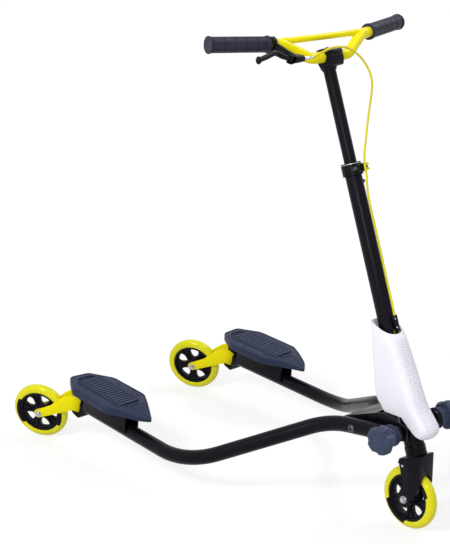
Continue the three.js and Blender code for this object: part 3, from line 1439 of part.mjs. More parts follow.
// One side's arm with all that it carries. The arm frame is on the fold pivot.
function addArmSide(side, sign) {
  const handed = (geometry) => (sign > 0 ? geometry : mirrored(geometry));
  const arm = addGroup(head, -foldPivotBehind, sign * foldPivotOut, foldPivotRise);
  const fromPivot = (geometry) => handed(geometry.translate(foldPivotBehind, -foldPivotOut, -foldPivotRise));
  addPiece(arm, "arm_" + side, fromPivot(armGeometry()), "blackPaint");
  addPiece(arm, "arm_end_plate_" + side, fromPivot(endPlateGeometry()), "blackPaint");
  addPiece(arm, "deck_" + side, fromPivot(deckGeometry()), "deckPlastic");
  addPiece(arm, "deck_bracket_" + side, fromPivot(deckBracketGeometry()), "blackPaint");

  const foldLine = addGroup(head, -foldPivotBehind, sign * foldPivotOut, foldPivotRise);
  foldLine.rotation.z = -sign * converge;
  addPiece(foldLine, "pivot_bolt_" + side, handed(pivotBoltGeometry()), "steel");
  const knob = addGroup(foldLine, studAhead, 0, studRise);
  addPiece(knob, "knob_" + side, handed(knobGeometry()), "knobPlastic");

  const casterX = casterPlace.x + foldPivotBehind;
  const swivel = addGroup(arm, casterX, sign * (casterPlace.y - foldPivotOut), casterPlace.z - foldPivotRise);
  swivel.rotation.y = casterLean;
  addPiece(swivel, "swivel_bolt_" + side, swivelBoltGeometry(), "steel");
  const caster = addGroup(swivel);
  caster.rotation.z = casterTurn;
  addPiece(caster, "rear_fork_" + side, rearForkGeometry(), "yellowPaint");
  const axle = addGroup(caster, rearAxleX, 0, rearAxleZ);
  addAxle(axle, "rear_" + side, rearForkWidth / 2);
  const wheel = addGroup(axle);
  addWheel(wheel, "rear_" + side, rearForkWidth / 2 - rearForkWall);
}

addArmSide("left", 1);
addArmSide("right", -1);

// The scooter stands with the middle of its box over the origin.
const root = new THREE.Group();
root.add(scooter);
root.updateMatrixWorld(true);
const box = new THREE.Box3().setFromObject(scooter, true);
scooter.position.set(-(box.min.x + box.max.x) / 2, -(box.min.y + box.max.y) / 2, -box.min.z);

export default root;
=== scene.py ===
# The looks of a three-wheeled drift scooter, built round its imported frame.
# Local sizes are millimetres, and each piece is placed in the frame's metres.
# +X is forward, +Y the rider's left and +Z up. Sides are drawn on the left and mirrored.
import json
import math

import bmesh
import bpy
from mathutils import Matrix, Vector


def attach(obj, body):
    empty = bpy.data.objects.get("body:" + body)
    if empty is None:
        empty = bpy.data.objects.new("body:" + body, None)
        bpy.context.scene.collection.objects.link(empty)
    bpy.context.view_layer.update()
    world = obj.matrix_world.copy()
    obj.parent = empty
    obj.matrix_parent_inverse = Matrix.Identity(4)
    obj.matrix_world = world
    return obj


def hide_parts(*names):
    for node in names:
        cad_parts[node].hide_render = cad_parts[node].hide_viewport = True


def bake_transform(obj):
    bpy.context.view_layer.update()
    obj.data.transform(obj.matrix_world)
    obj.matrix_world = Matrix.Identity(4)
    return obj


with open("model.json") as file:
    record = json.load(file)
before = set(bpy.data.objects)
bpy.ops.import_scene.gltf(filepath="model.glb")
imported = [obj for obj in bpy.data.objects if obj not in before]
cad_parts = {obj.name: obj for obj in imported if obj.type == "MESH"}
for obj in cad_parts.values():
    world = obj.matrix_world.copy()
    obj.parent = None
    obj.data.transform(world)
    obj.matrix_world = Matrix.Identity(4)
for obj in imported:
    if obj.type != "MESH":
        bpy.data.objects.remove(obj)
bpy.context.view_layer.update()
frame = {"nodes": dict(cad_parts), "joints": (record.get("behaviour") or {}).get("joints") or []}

MM = 0.001
WELD = 0.002
TAU = 2 * math.pi
UP = Vector((0, 0, 1))
ACROSS = Vector((0, 1, 0))
ORIGIN = Vector((0, 0, 0))
GAP = 0.3
# How far a cutter reaches past what it cuts.
THROUGH = 60
FAR = 100

# Camera, as it was fitted to the photograph. Its target is taken from the ground
# under the front axle.
CAMERA_TARGET = (-589.0, -20.9, 464.2)
CAMERA_AZIMUTH = 47.47
CAMERA_ELEVATION = 16.65
CAMERA_DISTANCE = 3588.4
CAMERA_ROLL = 0.33
CAMERA_LENS = 98.49
SENSOR_HEIGHT = 36

joints = {joint["name"]: joint for joint in frame["joints"]}
axle_place = Vector(joints["front_wheel_spin"]["pos_m"])
crown_place = Vector(joints["steering_turn"]["pos_m"])
centre_y = axle_place.y


def frame_at(joint, across, up):
    """Takes millimetres in a frame on a joint, X forward, to metres in the scooter's frame."""
    forward = Vector(across).cross(Vector(up)).normalized()
    side = Vector(up).cross(forward).normalized()
    turn = Matrix((forward, side, Vector(up).normalized())).transposed().to_4x4()
    return Matrix.Translation(Vector(joints[joint]["pos_m"])) @ turn @ Matrix.Scale(MM, 4)


def shifted(x=0, y=0, z=0):
    return Matrix.Translation((x, y, z))


def turned(degrees, axis):
    return Matrix.Rotation(math.radians(degrees), 4, axis)


STEERING = frame_at("steering_turn", ACROSS, joints["steering_turn"]["axis"])
AXLE = frame_at("front_wheel_spin", ACROSS, UP)
HEAD = Matrix.Translation((axle_place.x, centre_y, crown_place.z)) @ Matrix.Scale(MM, 4)
GROUND = Matrix.Translation((axle_place.x, centre_y, 0)) @ Matrix.Scale(MM, 4)
MIRROR = Matrix.Translation((0, 2 * centre_y, 0)) @ Matrix.Scale(-1, 4, ACROSS)
FLIP = Matrix.Scale(-1, 4, ACROSS)
SIDES = ("left", "right")


# Camera
def make_camera():
    azimuth = math.radians(CAMERA_AZIMUTH)
    elevation = math.radians(CAMERA_ELEVATION)
    back = Vector((
        math.sin(azimuth) * math.cos(elevation),
        -math.cos(azimuth) * math.cos(elevation),
        math.sin(elevation),
    ))
    target = GROUND @ Vector(CAMERA_TARGET)
    data = bpy.data.cameras.new("camera")
    data.sensor_fit = "VERTICAL"
    data.sensor_height = SENSOR_HEIGHT
    data.lens = CAMERA_LENS
    camera = bpy.data.objects.new("camera", data)
    bpy.context.scene.collection.objects.link(camera)
    camera.matrix_world = (
        Matrix.Translation(target + back * CAMERA_DISTANCE * MM)
        @ back.to_track_quat("Z", "Y").to_matrix().to_4x4()
        @ turned(CAMERA_ROLL, "Z")
    )
    bpy.context.scene.camera = camera


make_camera()


# Solids: vertices and faces in millimetres
def lathe(profile, segments=72):
    """A solid of revolution about Y from (radius, height) points that close on themselves."""
    verts = []
    faces = []
    count = len(profile)
    for k in range(segments):
        angle = TAU * k / segments
        verts += [(r * math.cos(angle), y, r * math.sin(angle)) for r, y in profile]
    for k in range(segments):
        here = k * count
        there = (k + 1) % segments * count
        for i in range(count):
            j = (i + 1) % count
            faces.append((here + i, here + j, there + j, there + i))
    return verts, faces


def ring(outer, inner, low, high, edge=0.6, segments=72):
    """A round band about Y with softened edges."""
    return lathe(fillet([(inner, low), (outer, low), (outer, high), (inner, high)], edge, 3), segments)


def disc(radius, low, high, edge=0.6, segments=48):
    """A round rod about Y with softened edges and closed ends."""
    return lathe([(0, low), *fillet_open([(0, low), (radius, low), (radius, high), (0, high)], edge, 3),
                  (0, high)], segments)


def extruded(outline, low, high, axis="y"):
    """A prism of an outline: drawn in XZ along Y, or in XY along Z."""
    count = len(outline)
    if axis == "y":
        verts = [(u, low, v) for u, v in outline] + [(u, high, v) for u, v in outline]
    else:
        verts = [(u, v, low) for u, v in outline] + [(u, v, high) for u, v in outline]
    faces = [tuple(range(count)), tuple(range(2 * count - 1, count - 1, -1))]
    for i in range(count):
        j = (i + 1) % count
        faces.append((i, j, count + j, count + i))
    return verts, faces


def block(low, high):
    """A box from its lowest corner to its highest."""
    outline = [(low[0], low[2]), (high[0], low[2]), (high[0], high[2]), (low[0], high[2])]
    return extruded(outline, low[1], high[1])


def moved(solid, matrix):
    verts, faces = solid
    return [tuple(matrix @ Vector(v)) for v in verts], faces


def together(*solids):
    verts = []
    faces = []
    for part_verts, part_faces in solids:
        start = len(verts)
        verts += part_verts
        faces += [tuple(start + i for i in face) for face in part_faces]
    return verts, faces


def upright(solid):
    """Stands a solid drawn about Y up about Z."""
    return moved(solid, turned(90, "X"))


def swept(points, radii, sides=32, flat=1.0, side_hint=ACROSS):
    """A closed tube along points. Flat narrows its section across the hint's direction."""
    points = [Vector(p) for p in points]
    if not isinstance(radii, (list, tuple)):
        radii = [radii] * len(points)
    verts = []
    faces = []
    across = Vector(side_hint)
    for k, point in enumerate(points):
        ahead = points[min(k + 1, len(points) - 1)] - points[max(k - 1, 0)]
        ahead.normalize()
        across = (across - ahead * across.dot(ahead)).normalized()
        rise = ahead.cross(across)
        for i in range(sides):
            angle = TAU * i / sides
            reach = across * math.cos(angle) * flat + rise * math.sin(angle)
            verts.append(tuple(point + reach * radii[k]))
    for k in range(len(points) - 1):
        for i in range(sides):
            j = (i + 1) % sides
            a = k * sides
            faces.append((a + i, a + j, a + sides + j, a + sides + i))
    last = (len(points) - 1) * sides
    faces.append(tuple(range(sides - 1, -1, -1)))
    faces.append(tuple(range(last, last + sides)))
    return verts, faces


def arc(x, y, radius, start, end, steps=12):
    """Points on an arc, from one angle in degrees to another."""
    angles = [math.radians(start + (end - start) * k / steps) for k in range(steps + 1)]
    return [(x + radius * math.cos(a), y + radius * math.sin(a)) for a in angles]


def fillet_open(points, radius, steps=4):
    """The inner points of an open line, each corner rounded."""
    closed = fillet(points, radius, steps)
    return closed[steps + 1:-(steps + 1)]


def fillet(points, radius, steps=4):
    """A closed outline with its corners rounded. Radius is one size or one for each corner."""
    radii = radius if isinstance(radius, (list, tuple)) else [radius] * len(points)
    result = []
    for i, point in enumerate(points):
        corner = Vector(point)
        back = Vector(points[i - 1]) - corner
        on = Vector(points[(i + 1) % len(points)]) - corner
        trim = min(radii[i], back.length * 0.476, on.length * 0.476)
        entry = corner + back.normalized() * trim
        leave = corner + on.normalized() * trim
        for k in range(steps + 1):
            t = k / steps
            place = entry * (1 - t) ** 2 + corner * 2 * t * (1 - t) + leave * t ** 2
            result.append((place.x, place.y))
    return result


def bezier(a, b, c, d, steps=16):
    """Points on a cubic curve, without its first."""
    places = []
    for k in range(1, steps + 1):
        t = k / steps
        weights = ((1 - t) ** 3, 3 * t * (1 - t) ** 2, 3 * t ** 2 * (1 - t), t ** 3)
        places.append(tuple(
            sum(w * p[i] for w, p in zip(weights, (a, b, c, d))) for i in range(2)
        ))
    return places


def from_shares(shares, length, height, start_x=0, start_z=0):
    return [(start_x + along * length, start_z + up * height) for along, up in shares]


def inset(points, distance):
    """The outline moved in by a distance."""
    area = sum(
        points[i - 1][0] * points[i][1] - points[i][0] * points[i - 1][1] for i in range(len(points))
    )
    turn = 1 if area > 0 else -1
    result = []
    for i, point in enumerate(points):
        before = (Vector(point) - Vector(points[i - 1])).normalized()
        after = (Vector(points[(i + 1) % len(points)]) - Vector(point)).normalized()
        inward = Vector((-before.y - after.y, before.x + after.x)).normalized()
        reach = turn * distance / max(inward.dot(Vector((-before.y, before.x))), 0.3)
        result.append((point[0] + inward.x * reach, point[1] + inward.y * reach))
    return result


def bent_path(corners, radii, steps=14):
    """Straight runs joined by round bends."""
    corners = [Vector(c) for c in corners]
    path = [corners[0]]
    for i in range(1, len(corners) - 1):
        into = (corners[i] - corners[i - 1]).normalized()
        out = (corners[i + 1] - corners[i]).normalized()
        angle = into.angle(out)
        side = (out - into * into.dot(out)).normalized()
        start = corners[i] - into * radii[i - 1] * math.tan(angle / 2)
        centre = start + side * radii[i - 1]
        for k in range(steps + 1):
            turn = angle * k / steps
            beside = centre - side * radii[i - 1] * math.cos(turn)
            path.append(beside + into * radii[i - 1] * math.sin(turn))
    path.append(corners[-1])
    return path


def smooth_route(points, steps=6):
    """A centripetal curve through the points."""
    points = [Vector(p) for p in points]
    first = points[0] * 2 - points[1]
    last = points[-1] * 2 - points[-2]
    around = [first, *points, last]
    route = []
    for i in range(len(points) - 1):
        p = around[i:i + 4]
        knots = [0.0]
        for a, b in zip(p, p[1:]):
            knots.append(knots[-1] + max((b - a).length, 1e-6) ** 0.5)
        for k in range(steps):
            t = knots[1] + (knots[2] - knots[1]) * k / steps
            route.append(catmull(p, knots, t))
    route.append(points[-1])
    return route


def catmull(p, t, at):
    def mix(a, b, low, high):
        return a * ((high - at) / (high - low)) + b * ((at - low) / (high - low))
    a = [mix(p[i], p[i + 1], t[i], t[i + 1]) for i in range(3)]
    b = [mix(a[i], a[i + 1], t[i], t[i + 2]) for i in range(2)]
    return mix(b[0], b[1], t[1], t[2])


# Objects
def raw_object(name, solid):
    mesh = bpy.data.meshes.new(name)
    mesh.from_pydata(solid[0], [], solid[1])
    shape = bmesh.new()
    shape.from_mesh(mesh)
    bmesh.ops.remove_doubles(shape, verts=shape.verts, dist=WELD)
    bmesh.ops.dissolve_degenerate(shape, edges=shape.edges, dist=WELD)
    bmesh.ops.recalc_face_normals(shape, faces=shape.faces)
    shape.to_mesh(mesh)
    shape.free()
    obj = bpy.data.objects.new(name, mesh)
    bpy.context.scene.collection.objects.link(obj)
    return obj


def bake(obj):
    """Applies the object's modifiers to its mesh."""
    bpy.context.view_layer.update()
    graph = bpy.context.evaluated_depsgraph_get()
    mesh = bpy.data.meshes.new_from_object(obj.evaluated_get(graph))
    old = obj.data
    obj.modifiers.clear()
    obj.data = mesh
    bpy.data.meshes.remove(old)


def carve(obj, solid, operation="DIFFERENCE"):
    """Cuts a solid out of the object, or joins or keeps what they share."""
    tool = raw_object(obj.name + "_tool", solid)
    carving = obj.modifiers.new("carve", "BOOLEAN")
    carving.operation = operation
    carving.solver = "EXACT"
    carving.object = tool
    bake(obj)
    mesh = tool.data
    bpy.data.objects.remove(tool)
    bpy.data.meshes.remove(mesh)


def soften(obj, width, segments=2, angle=28):
    """Rounds the object's edges a little."""
    for polygon in obj.data.polygons:
        polygon.use_smooth = True
    bevel = obj.modifiers.new("edges", "BEVEL")
    bevel.width = width
    bevel.segments = segments
    bevel.limit_method = "ANGLE"
    bevel.angle_limit = math.radians(angle)
    bevel.harden_normals = True
    bake(obj)


def copies_tree():
    """Copies of what comes in, stepped along a row or turned round an axis."""
    tree = bpy.data.node_groups.new("row_or_ring", "GeometryNodeTree")
    sockets = tree.interface
    sockets.new_socket("Geometry", in_out="INPUT", socket_type="NodeSocketGeometry")
    sockets.new_socket("Count", in_out="INPUT", socket_type="NodeSocketInt")
    sockets.new_socket("Step", in_out="INPUT", socket_type="NodeSocketVector")
    sockets.new_socket("Turn", in_out="INPUT", socket_type="NodeSocketVector")
    sockets.new_socket("Finish", in_out="INPUT", socket_type="NodeSocketMaterial")
    sockets.new_socket("Geometry", in_out="OUTPUT", socket_type="NodeSocketGeometry")
    nodes = tree.nodes
    link = tree.links.new
    given = nodes.new("NodeGroupInput")
    line = nodes.new("GeometryNodeMeshLine")
    line.mode = "OFFSET"
    index = nodes.new("GeometryNodeInputIndex")
    times = nodes.new("ShaderNodeVectorMath")
    times.operation = "SCALE"
    spin = nodes.new("FunctionNodeEulerToRotation")
    placed = nodes.new("GeometryNodeInstanceOnPoints")
    real = nodes.new("GeometryNodeRealizeInstances")
    painted = nodes.new("GeometryNodeSetMaterial")
    result = nodes.new("NodeGroupOutput")
    link(given.outputs["Count"], line.inputs["Count"])
    link(given.outputs["Step"], line.inputs["Offset"])
    link(given.outputs["Turn"], times.inputs[0])
    link(index.outputs[0], times.inputs["Scale"])
    link(times.outputs["Vector"], spin.inputs[0])
    link(line.outputs["Mesh"], placed.inputs["Points"])
    link(given.outputs["Geometry"], placed.inputs["Instance"])
    link(spin.outputs[0], placed.inputs["Rotation"])
    link(placed.outputs["Instances"], real.inputs["Geometry"])
    link(real.outputs["Geometry"], painted.inputs["Geometry"])
    link(given.outputs["Finish"], painted.inputs["Material"])
    link(painted.outputs["Geometry"], result.inputs["Geometry"])
    return tree


COPIES = copies_tree()


def repeat(obj, count, step=(0, 0, 0), turn=(0, 0, 0), finish=None):
    """Replaces the object's mesh by copies of it. Turn is in radians from copy to copy."""
    modifier = obj.modifiers.new("copies", "NODES")
    modifier.node_group = COPIES
    given = {"Count": count, "Step": step, "Turn": turn, "Finish": finish}
    for socket in COPIES.interface.items_tree:
        if socket.in_out == "INPUT" and socket.name in given:
            modifier[socket.identifier] = given[socket.name]
    bake(obj)


def repeated(name, solid, count, step=(0, 0, 0), turn=(0, 0, 0), finish=None, bevel=0):
    """The copies of a solid, as a solid again."""
    obj = raw_object(name, solid)
    if bevel:
        soften(obj, bevel)
    repeat(obj, count, step, turn, finish)
    return taken(obj)


def taken(obj):
    """The object's mesh as a solid. The object is removed."""
    mesh = obj.data
    verts = [tuple(v.co) for v in mesh.vertices]
    faces = [tuple(p.vertices) for p in mesh.polygons]
    bpy.data.objects.remove(obj)
    bpy.data.meshes.remove(mesh)
    return verts, faces


def piece(name, solid, place, finish, body, stands_for=(), cuts=(), bevel=0, mirrored=False,
          smooth=38, bend=None):
    """Makes a finished piece from a solid: cut, softened, bent, placed and riding on any body named."""
    obj = solid if isinstance(solid, bpy.types.Object) else raw_object(name, solid)
    obj.name = name
    for cutter in cuts:
        carve(obj, cutter)
    if mirrored:
        obj.data.transform(FLIP)
        obj.data.flip_normals()
        place = MIRROR @ place @ FLIP
    if bevel:
        soften(obj, bevel)
    if bend:
        for vertex in obj.data.vertices:
            vertex.co = bend(vertex.co)
    obj.data.transform(place)
    if not bevel:
        obj.data.shade_smooth()
        obj.data.set_sharp_from_angle(angle=math.radians(smooth))
    obj.data.materials.clear()
    obj.data.materials.append(FINISHES[finish])
    for polygon in obj.data.polygons:
        polygon.material_index = 0
    if body:
        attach(obj, body)
    if stands_for:
        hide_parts(*([stands_for] if isinstance(stands_for, str) else stands_for))
    return obj


# Finishes
def linear(colour):
    """A display colour, as three shares of 255, in linear light."""
    shares = [c / 255 for c in colour]
    return [c / 12.92 if c <= 0.04045 else ((c + 0.055) / 1.055) ** 2.4 for c in shares] + [1.0]


def node_group(name, given, made):
    """An empty shader group with named sockets."""
    tree = bpy.data.node_groups.new(name, "ShaderNodeTree")
    for label, kind, value in given:
        socket = tree.interface.new_socket(label, in_out="INPUT", socket_type=kind)
        socket.default_value = value
    for label, kind in made:
        tree.interface.new_socket(label, in_out="OUTPUT", socket_type=kind)
    return tree, tree.nodes.new("NodeGroupInput"), tree.nodes.new("NodeGroupOutput")


def noise(tree, scale, detail=3, roughness=0.5):
    """Noise on the piece's own metres, with its scale from a socket."""
    place = tree.nodes.new("ShaderNodeTexCoord")
    texture = tree.nodes.new("ShaderNodeTexNoise")
    texture.inputs["Detail"].default_value = detail
    texture.inputs["Roughness"].default_value = roughness
    tree.links.new(place.outputs["Object"], texture.inputs["Vector"])
    tree.links.new(scale, texture.inputs["Scale"])
    return texture.outputs["Fac"]


def spread(tree, value, low, high, from_low=0.3, from_high=0.7):
    """Maps the middle of a noise to a range that sockets or numbers give."""
    node = tree.nodes.new("ShaderNodeMapRange")
    node.inputs["From Min"].default_value = from_low
    node.inputs["From Max"].default_value = from_high
    tree.links.new(value, node.inputs["Value"])
    for label, end in (("To Min", low), ("To Max", high)):
        if isinstance(end, (int, float)):
            node.inputs[label].default_value = end
        else:
            tree.links.new(end, node.inputs[label])
    return node.outputs["Result"]


def drift_group():
    """Slow changes of tone over a moulding or a coat of paint."""
    tree, given, made = node_group(
        "tone_drift",
        [("Light", "NodeSocketColor", (1, 1, 1, 1)), ("Dark", "NodeSocketColor", (0, 0, 0, 1)),
         ("Scale", "NodeSocketFloat", 8.0)],
        [("Color", "NodeSocketColor")],
    )
    amount = spread(tree, noise(tree, given.outputs["Scale"], 2), 0.0, 1.0)
    mix = tree.nodes.new("ShaderNodeMix")
    mix.data_type = "RGBA"
    tree.links.new(amount, mix.inputs["Factor"])
    tree.links.new(given.outputs["Light"], mix.inputs[6])
    tree.links.new(given.outputs["Dark"], mix.inputs[7])
    tree.links.new(mix.outputs[2], made.inputs["Color"])
    return tree


def grain_group():
    """The fine grain of moulded plastic, rubber or powder coat, with its roughness."""
    tree, given, made = node_group(
        "surface_grain",
        [("Scale", "NodeSocketFloat", 900.0), ("Smoothest", "NodeSocketFloat", 0.3),
         ("Roughest", "NodeSocketFloat", 0.5)],
        [("Height", "NodeSocketFloat"), ("Roughness", "NodeSocketFloat")],
    )
    fine = noise(tree, given.outputs["Scale"], 4, 0.6)
    slow = tree.nodes.new("ShaderNodeMath")
    slow.operation = "MULTIPLY"
    slow.inputs[1].default_value = 0.04
    tree.links.new(given.outputs["Scale"], slow.inputs[0])
    patches = noise(tree, slow.outputs[0], 3)
    roughness = spread(tree, patches, given.outputs["Smoothest"], given.outputs["Roughest"])
    tree.links.new(fine, made.inputs["Height"])
    tree.links.new(roughness, made.inputs["Roughness"])
    return tree


def wear_group():
    """Sparse fine scuffs, for paint and plastic that is handled or stood on."""
    tree, given, made = node_group(
        "fine_scuffs",
        [("Color", "NodeSocketColor", (1, 1, 1, 1)), ("Scuffed", "NodeSocketColor", (1, 1, 1, 1)),
         ("Scale", "NodeSocketFloat", 60.0), ("Amount", "NodeSocketFloat", 0.2)],
        [("Color", "NodeSocketColor")],
    )
    place = tree.nodes.new("ShaderNodeTexCoord")
    stretch = tree.nodes.new("ShaderNodeMapping")
    stretch.inputs["Scale"].default_value = (1.0, 6.0, 1.6)
    stretch.inputs["Rotation"].default_value = (0.4, 0.9, 0.3)
    texture = tree.nodes.new("ShaderNodeTexNoise")
    texture.inputs["Detail"].default_value = 5
    tree.links.new(place.outputs["Object"], stretch.inputs["Vector"])
    tree.links.new(stretch.outputs["Vector"], texture.inputs["Vector"])
    tree.links.new(given.outputs["Scale"], texture.inputs["Scale"])
    mask = spread(tree, texture.outputs["Fac"], 0.0, given.outputs["Amount"], 0.62, 0.78)
    mix = tree.nodes.new("ShaderNodeMix")
    mix.data_type = "RGBA"
    tree.links.new(mask, mix.inputs["Factor"])
    tree.links.new(given.outputs["Color"], mix.inputs[6])
    tree.links.new(given.outputs["Scuffed"], mix.inputs[7])
    tree.links.new(mix.outputs[2], made.inputs["Color"])
    return tree


DRIFT = drift_group()
GRAIN = grain_group()
WEAR = wear_group()
FINISHES = {}


def use_group(tree, group, **values):
    """Adds a shader group to a material, with its sockets set."""
    node = tree.nodes.new("ShaderNodeGroup")
    node.node_tree = group
    for label, value in values.items():
        node.inputs[label].default_value = value
    return node


def add_finish(name, light, dark, smooth, rough, grain_scale, grain_depth, scuffs=0.1,
               scuffed=None, **shader):
    """A material: tone drift and scuffs for its colour, grain for its roughness and bump."""
    material = bpy.data.materials.new(name)
    material.use_nodes = True
    tree = material.node_tree
    principled = tree.nodes["Principled BSDF"]
    drift = use_group(tree, DRIFT, Light=linear(light), Dark=linear(dark), Scale=9.0)
    wear = use_group(tree, WEAR, Scuffed=linear(scuffed or light), Scale=55.0, Amount=scuffs)
    grain = use_group(tree, GRAIN, Scale=grain_scale, Smoothest=smooth, Roughest=rough)
    bump = tree.nodes.new("ShaderNodeBump")
    bump.inputs["Strength"].default_value = 0.5
    bump.inputs["Distance"].default_value = grain_depth * MM
    link = tree.links.new
    link(drift.outputs["Color"], wear.inputs["Color"])
    link(wear.outputs["Color"], principled.inputs["Base Color"])
    link(grain.outputs["Roughness"], principled.inputs["Roughness"])
    link(grain.outputs["Height"], bump.inputs["Height"])
    link(bump.outputs["Normal"], principled.inputs["Normal"])
    for label, value in shader.items():
        principled.inputs[label.replace("_", " ")].default_value = value
    FINISHES[name] = material


# A violet tint on the reflections of the dark paints, plastics and rubber: a painted colour of reflected
# light.
PAINTED_REFLECTION_TINT = (0.86, 0.84, 1.0, 1.0)


def add_finishes():
    add_finish("black_paint", (12, 12, 18), (8, 8, 13), 0.26, 0.34, 1400, 0.02,
               scuffs=0.2, scuffed=(32, 31, 44), Specular_IOR_Level=0.11, Specular_Tint=PAINTED_REFLECTION_TINT)
    add_finish("black_plastic", (14, 14, 20), (9, 9, 14), 0.32, 0.44, 1300, 0.05,
               scuffed=(40, 40, 50), Specular_IOR_Level=0.12, Specular_Tint=PAINTED_REFLECTION_TINT)
    add_finish("deck_plastic", (38, 46, 70), (29, 37, 59), 0.42, 0.55, 1500, 0.06,
               scuffs=0.3, scuffed=(66, 74, 104), Specular_IOR_Level=0.2, Specular_Tint=PAINTED_REFLECTION_TINT)
    # The knob's own plastic. On the deck's ribs and studs this lighter colour is a painted highlight on
    # their tops, set against the darker deck.
    add_finish("knob_plastic", (60, 68, 92), (49, 57, 80), 0.38, 0.5, 1500, 0.05,
               scuffed=(92, 100, 124), Specular_IOR_Level=0.22, Specular_Tint=PAINTED_REFLECTION_TINT)
    add_finish("yellow_paint", (242, 230, 0), (236, 223, 0), 0.22, 0.3, 300, 0.002,
               scuffs=0.12, scuffed=(250, 240, 40), Specular_IOR_Level=0.12)
    add_finish("yellow_tyre", (230, 222, 2), (212, 208, 2), 0.12, 0.2, 500, 0.01,
               scuffs=0.15, scuffed=(206, 200, 20), Specular_IOR_Level=0.3)
    add_finish("white_plastic", (238, 237, 246), (231, 231, 241), 0.34, 0.44, 1100, 0.02,
               scuffs=0.08, scuffed=(214, 214, 224), Specular_IOR_Level=0.25)
    add_finish("steel", (196, 197, 202), (172, 174, 180), 0.22, 0.36, 1600, 0.02,
               scuffed=(150, 152, 158), Metallic=1.0)
    add_finish("dark_steel", (86, 86, 96), (66, 66, 76), 0.24, 0.36, 1600, 0.02,
               scuffed=(120, 120, 130), Metallic=1.0)
    add_finish("grip_rubber", (44, 43, 58), (33, 32, 46), 0.48, 0.62, 1800, 0.08,
               scuffs=0.3, scuffed=(74, 74, 92), Specular_IOR_Level=0.24, Specular_Tint=PAINTED_REFLECTION_TINT)
    add_finish("cable_sheath", (222, 208, 20), (206, 190, 14), 0.32, 0.42, 900, 0.02,
               scuffs=0.1, scuffed=(236, 226, 90), Specular_IOR_Level=0.25)


add_finishes()


# Sizes that more than one piece follows
WHEEL_RADIUS = 72.5
TYRE_HALF = 13
HUB_RADIUS = 54
AXLE_RADIUS = 4
AXLE_HEX = 7.5
WASHER_RADIUS = 8.6
WASHER_DEPTH = 1.1
FRONT_FORK_HALF = 22
REAR_FORK_HALF = 19.5
FORK_WALL = 3
RAKE = math.radians(19.86)
CROWN_HEIGHT = 104.3
CROWN_X = 50.9 - CROWN_HEIGHT * math.tan(RAKE)
HEAD_TUBE_RADIUS = 22
COLUMN_RADIUS = 18.7
UPPER_RADIUS = 14
COLUMN_BOTTOM = 162.3
COLUMN_TOP = 660.3
SKEWER_RISE = COLUMN_TOP - 20
TUBE_END = SKEWER_RISE + 12
COLLAR_BOTTOM = SKEWER_RISE - 13.5
COLLAR_TOP = SKEWER_RISE + 15
BAR_FORWARD = 10
BAR_RISE = COLUMN_TOP + 207 + 23
BAR_RADIUS = 12.3
GRIP_RADIUS = 17
GRIP_FLANGE = 18.65
CABLE_RADIUS = 2.5
ARM_RADIUS = 17.5
ARM_RISE = math.radians(5.4)
STUD_AHEAD = 99.4
DECK_TOP = 71.5
DECK_DEPTH = 19

SKEWER_AHEAD = 24
LEVER_PIN_OUT = 20.3
BRAKE_PIVOT_BEHIND = 8
BRAKE_PIVOT_RISE = 78.1

BAR = STEERING @ shifted(BAR_FORWARD, 0, BAR_RISE)
CLAMP = STEERING @ shifted(SKEWER_AHEAD, LEVER_PIN_OUT, SKEWER_RISE)
BRAKE = AXLE @ shifted(-BRAKE_PIVOT_BEHIND, 0, BRAKE_PIVOT_RISE)
HEAD_LINE = HEAD @ shifted(CROWN_X) @ turned(-math.degrees(RAKE), "Y")


def hinge_frame(joint):
    return frame_at(joint, joints[joint]["axis"], UP)


def caster_axis(side):
    return joints[f"caster_{side}_swivel"]["axis"]


FOLD = hinge_frame("swing_arm_left_fold")
KNOB = hinge_frame("arm_knob_left_turn")
CASTER = {side: frame_at(f"caster_{side}_swivel", ACROSS, caster_axis(side)) for side in SIDES}
WHEEL = {
    side: frame_at(f"rear_wheel_{side}_spin", joints[f"rear_wheel_{side}_spin"]["axis"], caster_axis(side))
    for side in SIDES
}
TURNED = {
    side: frame_at(f"caster_{side}_swivel", joints[f"rear_wheel_{side}_spin"]["axis"], caster_axis(side))
    for side in SIDES
}
REAR_AXLE = TURNED["left"].inverted() @ Vector(joints["rear_wheel_left_spin"]["pos_m"])


def across_rod(radius, low, high, x=0, z=0, segments=40):
    """A plain rod along Y, for holes."""
    outline = [(x + u, z + v) for u, v in arc(0, 0, radius, 0, 360, segments)[:-1]]
    return extruded(outline, low, high)


def hexagon(radius, low, high, turn=0):
    """A plain hexagonal prism along Y."""
    outline = [
        (radius * math.cos(turn + TAU * k / 6), radius * math.sin(turn + TAU * k / 6)) for k in range(6)
    ]
    return extruded(outline, low, high)


def hex_fastener(name, place, body, radius, low, high, stands_for, extra=(), finish="steel", **keep):
    """A hexagonal head or nut with its corners turned off, joined by the extra solids."""
    obj = raw_object(name, hexagon(radius, low, high, math.radians(12)))
    middle = (low + high) / 2
    half = (high - low) / 2
    corner = radius * 0.1
    shape = lathe([
        (0, middle - half), (radius - corner * 1.9, middle - half), (radius, middle - half + corner),
        (radius, middle + half - corner), (radius - corner * 1.9, middle + half), (0, middle + half),
    ])
    carve(obj, shape, "INTERSECT")
    solid = together(taken(obj), *extra)
    return piece(name, solid, place, finish, body, stands_for, **keep)


# Wheels
WINDOW_COUNT = 5
WINDOW_INNER = 20
WINDOW_OUTER = 45
WINDOW_HALF = 12.6
WEB_HALF = 4
BOSS_HALF = 12
BOSS_RADIUS = 17
RIM_HALF = 11
LUG_TURN = 33
LUG_RADIUS = 62.2
LUG_COUNT = 2
# A fine line round the tyre's tread, on both sides.
GROOVE_OUT = 11.35
GROOVE_HALF = 0.35
CROWN_FROM = 62


